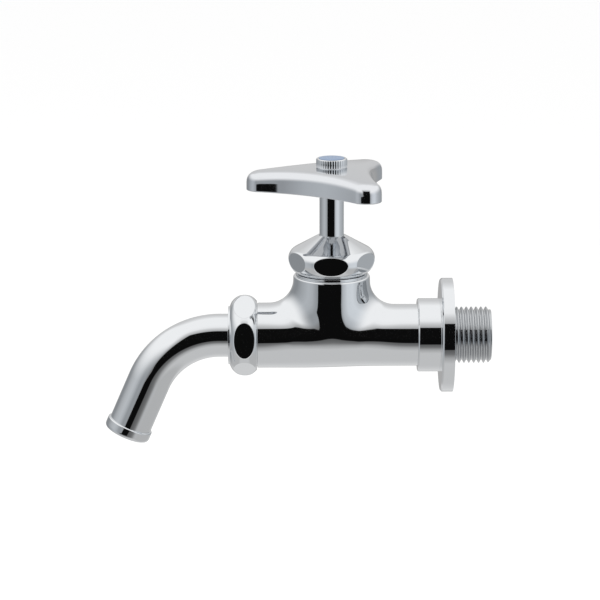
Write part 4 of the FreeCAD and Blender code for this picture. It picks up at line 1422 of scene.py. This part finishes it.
class OBJECT_OT_tap_spout_nut(PieceOperator):
    """Add the six-sided nut that holds the spout"""

    bl_idname = "object.tap_spout_nut"
    bl_label = "Spout Nut"

    def execute(self, context):
        mesh = spout_nut_mesh(self.sizes(context, "tap_spout_nut"))
        weigh_normals(new_piece("barrel_nut", mesh, "root", "chrome_turned", "spout_nut"))
        return {"FINISHED"}


class OBJECT_OT_tap_spout(PieceOperator):
    """Add the bent tube and the ring round its mouth"""

    bl_idname = "object.tap_spout"
    bl_label = "Spout"

    def execute(self, context):
        sizes = self.sizes(context, "tap_spout")
        new_piece("bent_tube", spout_pipe_mesh(sizes), "spout", "chrome_tube", "spout_pipe")
        ring = mouth_ring_mesh(sizes)
        weigh_normals(new_piece("mouth_ring", ring, "spout", "chrome_tube", "spout_mouth_ring"))
        return {"FINISHED"}


class OBJECT_OT_tap_inner_pieces(PieceOperator):
    """Give the pieces inside the tap their finish"""

    bl_idname = "object.tap_inner_pieces"
    bl_label = "Inner Pieces"

    def execute(self, context):
        finishes = {
            "packing_washer": "machined_brass",
            "spout_retaining_ring": "machined_brass",
            "jumper_valve": "machined_brass",
            "jumper_nut": "machined_brass",
            "gland_packing": "moulded_rubber",
            "spout_seal": "moulded_rubber",
            "jumper_washer": "moulded_rubber",
            "spout_slip_ring": "moulded_white_plastic",
        }
        for node, name in finishes.items():
            mesh = frame["nodes"][node].data
            mesh.materials.clear()
            mesh.materials.append(finish(name))
        return {"FINISHED"}


# Stage


def floor_finish(settings):
    """Pale matt paper."""
    material, tree = new_material("paper_floor")
    shader = add_node(tree, "ShaderNodeBsdfDiffuse", {"Color": (*settings.floor, 1)})
    add_node(tree, "ShaderNodeOutputMaterial", None, {"Surface": (shader, "BSDF")})
    return material


def direction_parts(tree):
    """Parts of a direction: up and sideways, and its turns over the tap, aside and upwards."""
    place = add_node(tree, "ShaderNodeTexCoord")
    apart = add_node(tree, "ShaderNodeSeparateXYZ", None, {"Vector": (place, "Generated")})
    ahead = add_node(tree, "ShaderNodeMath", {"operation": "MULTIPLY", 1: -1}, {0: (apart, "Y")})
    parts = {"up": (apart, "Z")}
    for name, operation, links in (
            ("sideways", "ABSOLUTE", {0: (apart, "X")}),
            ("over", "ARCTAN2", {0: (apart, "Z"), 1: (ahead, "Value")}),
            ("aside", "ARCTAN2", {0: (apart, "X"), 1: (ahead, "Value")}),
            ("upwards", "ARCSINE", {0: (apart, "Z")})):
        parts[name] = (add_node(tree, "ShaderNodeMath", {"operation": operation}, links), "Value")
    return parts


def eased_levels(tree, parts, settings):
    """Levels that each ease from least to most while a part of the direction goes from start to end."""
    aside, upwards = parts["aside"], parts["upwards"]
    soft = settings.opening_edge
    foot, low, high = settings.opening_foot, settings.opening_low, settings.opening_high
    right = settings.opening_right
    levels = {}
    for name, part, start, end, least, most in (
            ("white walls", parts["up"], 0, WHITE_RISE, 0, 1),
            ("skirt", upwards, low, 2 * low, 0, 1),
            ("wings", parts["sideways"], WING_START, WING_END, 0, 1),
            ("left edge", upwards, foot, foot + FOOT_FADE * soft, settings.opening_left,
             settings.opening_inner),
            ("further left", upwards, UPPER_START * soft, UPPER_END * soft, 0, settings.opening_upper),
            ("within right", aside, right, right - soft, 0, 1),
            ("within low", upwards, low, low + soft, 0, 1),
            ("within high", upwards, high, high - soft, 0, 1)):
        level = add_node(tree, "ShaderNodeMapRange", {
            "interpolation_type": "SMOOTHSTEP", "From Min": start, "From Max": end,
            "To Min": least, "To Max": most}, {"Value": part})
        levels[name] = (level, "Result")
    return levels


def tent_sheets(tree, parts, levels, shade):
    """Paper of the tent: an arch over the tap, and to its sides walls with a skirt below."""
    sheets = []
    for part, stops, tint in (("over", TENT_OVER, WHITE), ("aside", TENT_ROUND, shade)):
        share = add_node(tree, "ShaderNodeMapRange", {"From Min": -math.pi, "From Max": math.pi}, {
            "Value": parts[part]})
        ramp = add_node(tree, "ShaderNodeValToRGB", None, {"Fac": (share, "Result")})
        elements = ramp.color_ramp.elements
        while len(elements) < len(stops):
            elements.new(0.5)
        for element, (degrees, brightness) in zip(elements, stops):
            element.position = degrees / 360 + 0.5
            element.color = (*(brightness * channel for channel in tint), 1)
        sheets.append((ramp, "Color"))
    arch, sides = sheets
    walls = add_node(tree, "ShaderNodeMix", {"data_type": "RGBA", "B": (*WHITE, 1)}, {
        "Factor": levels["white walls"], "A": sides})
    skirted = add_node(tree, "ShaderNodeMix", {"data_type": "RGBA", "B": (*[TENT_SKIRT] * 3, 1)}, {
        "Factor": levels["skirt"], "A": (walls, "Result")})
    return add_node(tree, "ShaderNodeMix", {"data_type": "RGBA"}, {
        "Factor": levels["wings"], "A": arch, "B": (skirted, "Result")})


def tent_opening(tree, aside, levels, soft):
    """Share of the dark opening in the tent's front, whose left edge lies further out at its foot."""
    left = add_node(tree, "ShaderNodeMath", {"operation": "SUBTRACT"}, {
        0: levels["left edge"], 1: levels["further left"]})
    past = add_node(tree, "ShaderNodeMath", {"operation": "SUBTRACT"}, {0: aside, 1: (left, "Value")})
    within = add_node(tree, "ShaderNodeMapRange", {
        "interpolation_type": "SMOOTHSTEP", "From Min": 0, "From Max": soft}, {"Value": (past, "Value")})
    dark = (within, "Result")
    for edge in ("within right", "within low", "within high"):
        both = add_node(tree, "ShaderNodeMath", {"operation": "MULTIPLY"}, {0: dark, 1: levels[edge]})
        dark = (both, "Value")
    return dark


def surroundings(world, settings):
    """White studio all round; in the chrome it shows as a tent of paper, dark round the camera."""
    tree = world.node_tree
    parts = direction_parts(tree)
    levels = eased_levels(tree, parts, settings)
    sheets = tent_sheets(tree, parts, levels, settings.shade)
    dark = tent_opening(tree, parts["aside"], levels, settings.opening_edge)
    tent = add_node(tree, "ShaderNodeMix", {"data_type": "RGBA", "B": (*[settings.opening] * 3, 1)}, {
        "Factor": dark, "A": (sheets, "Result")})

    # Reflections show the tent; the background and the light on the tap are plain white
    rays = add_node(tree, "ShaderNodeLightPath")
    seen = add_node(tree, "ShaderNodeMix", {"data_type": "RGBA", "A": (*WHITE, 1)}, {
        "Factor": (rays, "Is Glossy Ray"), "B": (tent, "Result")})
    strength = add_node(tree, "ShaderNodeMath", {
        "operation": "MULTIPLY_ADD", 1: settings.tent - settings.world, 2: settings.world}, {
        0: (rays, "Is Glossy Ray")})
    background = tree.nodes["Background"]
    tree.links.new(strength.outputs["Value"], background.inputs["Strength"])
    tree.links.new(seen.outputs["Result"], background.inputs["Color"])


def add_floor(settings):
    sheet = bmesh.new()
    bmesh.ops.create_grid(sheet, x_segments=1, y_segments=1, size=FLOOR_SIDE / 2)
    mesh = bpy.data.meshes.new("floor")
    shift(sheet, z=-settings.floor_drop).to_mesh(mesh)
    sheet.free()
    mesh.materials.append(floor_finish(settings))
    floor = new_object("floor", mesh)
    floor.visible_glossy = False


def add_lamp(settings):
    data = bpy.data.lights.new("soft_lamp", "AREA")
    data.shape = "RECTANGLE"
    data.size = LAMP_WIDTH
    data.size_y = LAMP_DEPTH
    data.energy = settings.lamp
    lamp = new_object("soft_lamp", data)
    lamp.location = LAMP_PLACE
    lamp.visible_camera = False
    lamp.visible_glossy = False


def add_camera(settings):
    data = bpy.data.cameras.new("camera")
    data.sensor_width = SENSOR_WIDTH
    data.lens = settings.lens
    camera = new_object("camera", data)
    camera.location = (settings.camera_x, -settings.camera_distance, settings.camera_height)
    yaw = Matrix.Rotation(settings.camera_yaw, 4, "Z")
    pitch = Matrix.Rotation(QUARTER - settings.camera_pitch, 4, "X")
    roll = Matrix.Rotation(settings.camera_roll, 4, "Z")
    camera.rotation_euler = (yaw @ pitch @ roll).to_euler()
    bpy.context.scene.camera = camera


class SCENE_OT_tap_stage(bpy.types.Operator):
    """Set the camera, the paper floor, the studio round them and the lamp"""

    bl_idname = "scene.tap_stage"
    bl_label = "Stage"

    def execute(self, context):
        settings = context.scene.tap_stage
        world = bpy.data.worlds.new("studio")
        world.use_nodes = True
        surroundings(world, settings)
        context.scene.world = world
        add_floor(settings)
        add_lamp(settings)
        add_camera(settings)
        context.scene.view_settings.view_transform = "Standard"
        return {"FINISHED"}


class VIEW3D_PT_garden_tap(bpy.types.Panel):
    """Panel with the tap's pieces"""

    bl_idname = "VIEW3D_PT_garden_tap"
    bl_label = "Garden Tap"
    bl_space_type = "VIEW_3D"
    bl_region_type = "UI"
    bl_category = "Garden Tap"

    def draw(self, context):
        for operator in PIECES:
            self.layout.operator(operator.bl_idname)


GROUPS = {
    "tap_body": TapBodySizes,
    "tap_tail": TailSizes,
    "tap_flange": FlangeSizes,
    "tap_cap_nut": CapNutSizes,
    "tap_spindle": SpindleSizes,
    "tap_handle": HandleSizes,
    "tap_handle_screw": HandleScrewSizes,
    "tap_spout_nut": SpoutNutSizes,
    "tap_spout": SpoutSizes,
    "tap_colours": FinishColours,
    "tap_stage": StageSettings,
}

PIECES = (
    OBJECT_OT_tap_body,
    OBJECT_OT_tap_flange,
    OBJECT_OT_tap_cap_nut,
    OBJECT_OT_tap_spindle,
    OBJECT_OT_tap_handle,
    OBJECT_OT_tap_handle_screw,
    OBJECT_OT_tap_spout_nut,
    OBJECT_OT_tap_spout,
    OBJECT_OT_tap_inner_pieces,
    SCENE_OT_tap_stage,
)


def register():
    for group in GROUPS.values():
        bpy.utils.register_class(group)
    for operator in PIECES:
        bpy.utils.register_class(operator)
    bpy.utils.register_class(VIEW3D_PT_garden_tap)
    for name, group in GROUPS.items():
        setattr(bpy.types.Scene, name, bpy.props.PointerProperty(type=group))


def unregister():
    for name in GROUPS:
        delattr(bpy.types.Scene, name)
    bpy.utils.unregister_class(VIEW3D_PT_garden_tap)
    for operator in reversed(PIECES):
        bpy.utils.unregister_class(operator)
    for group in reversed(GROUPS.values()):
        bpy.utils.unregister_class(group)


def main():
    register()
    bpy.ops.object.tap_body()
    bpy.ops.object.tap_flange()
    bpy.ops.object.tap_cap_nut()
    bpy.ops.object.tap_spindle()
    bpy.ops.object.tap_handle()
    bpy.ops.object.tap_handle_screw()
    bpy.ops.object.tap_spout_nut()
    bpy.ops.object.tap_spout()
    bpy.ops.object.tap_inner_pieces()
    bpy.ops.scene.tap_stage()


if __name__ == "__main__":
    main()
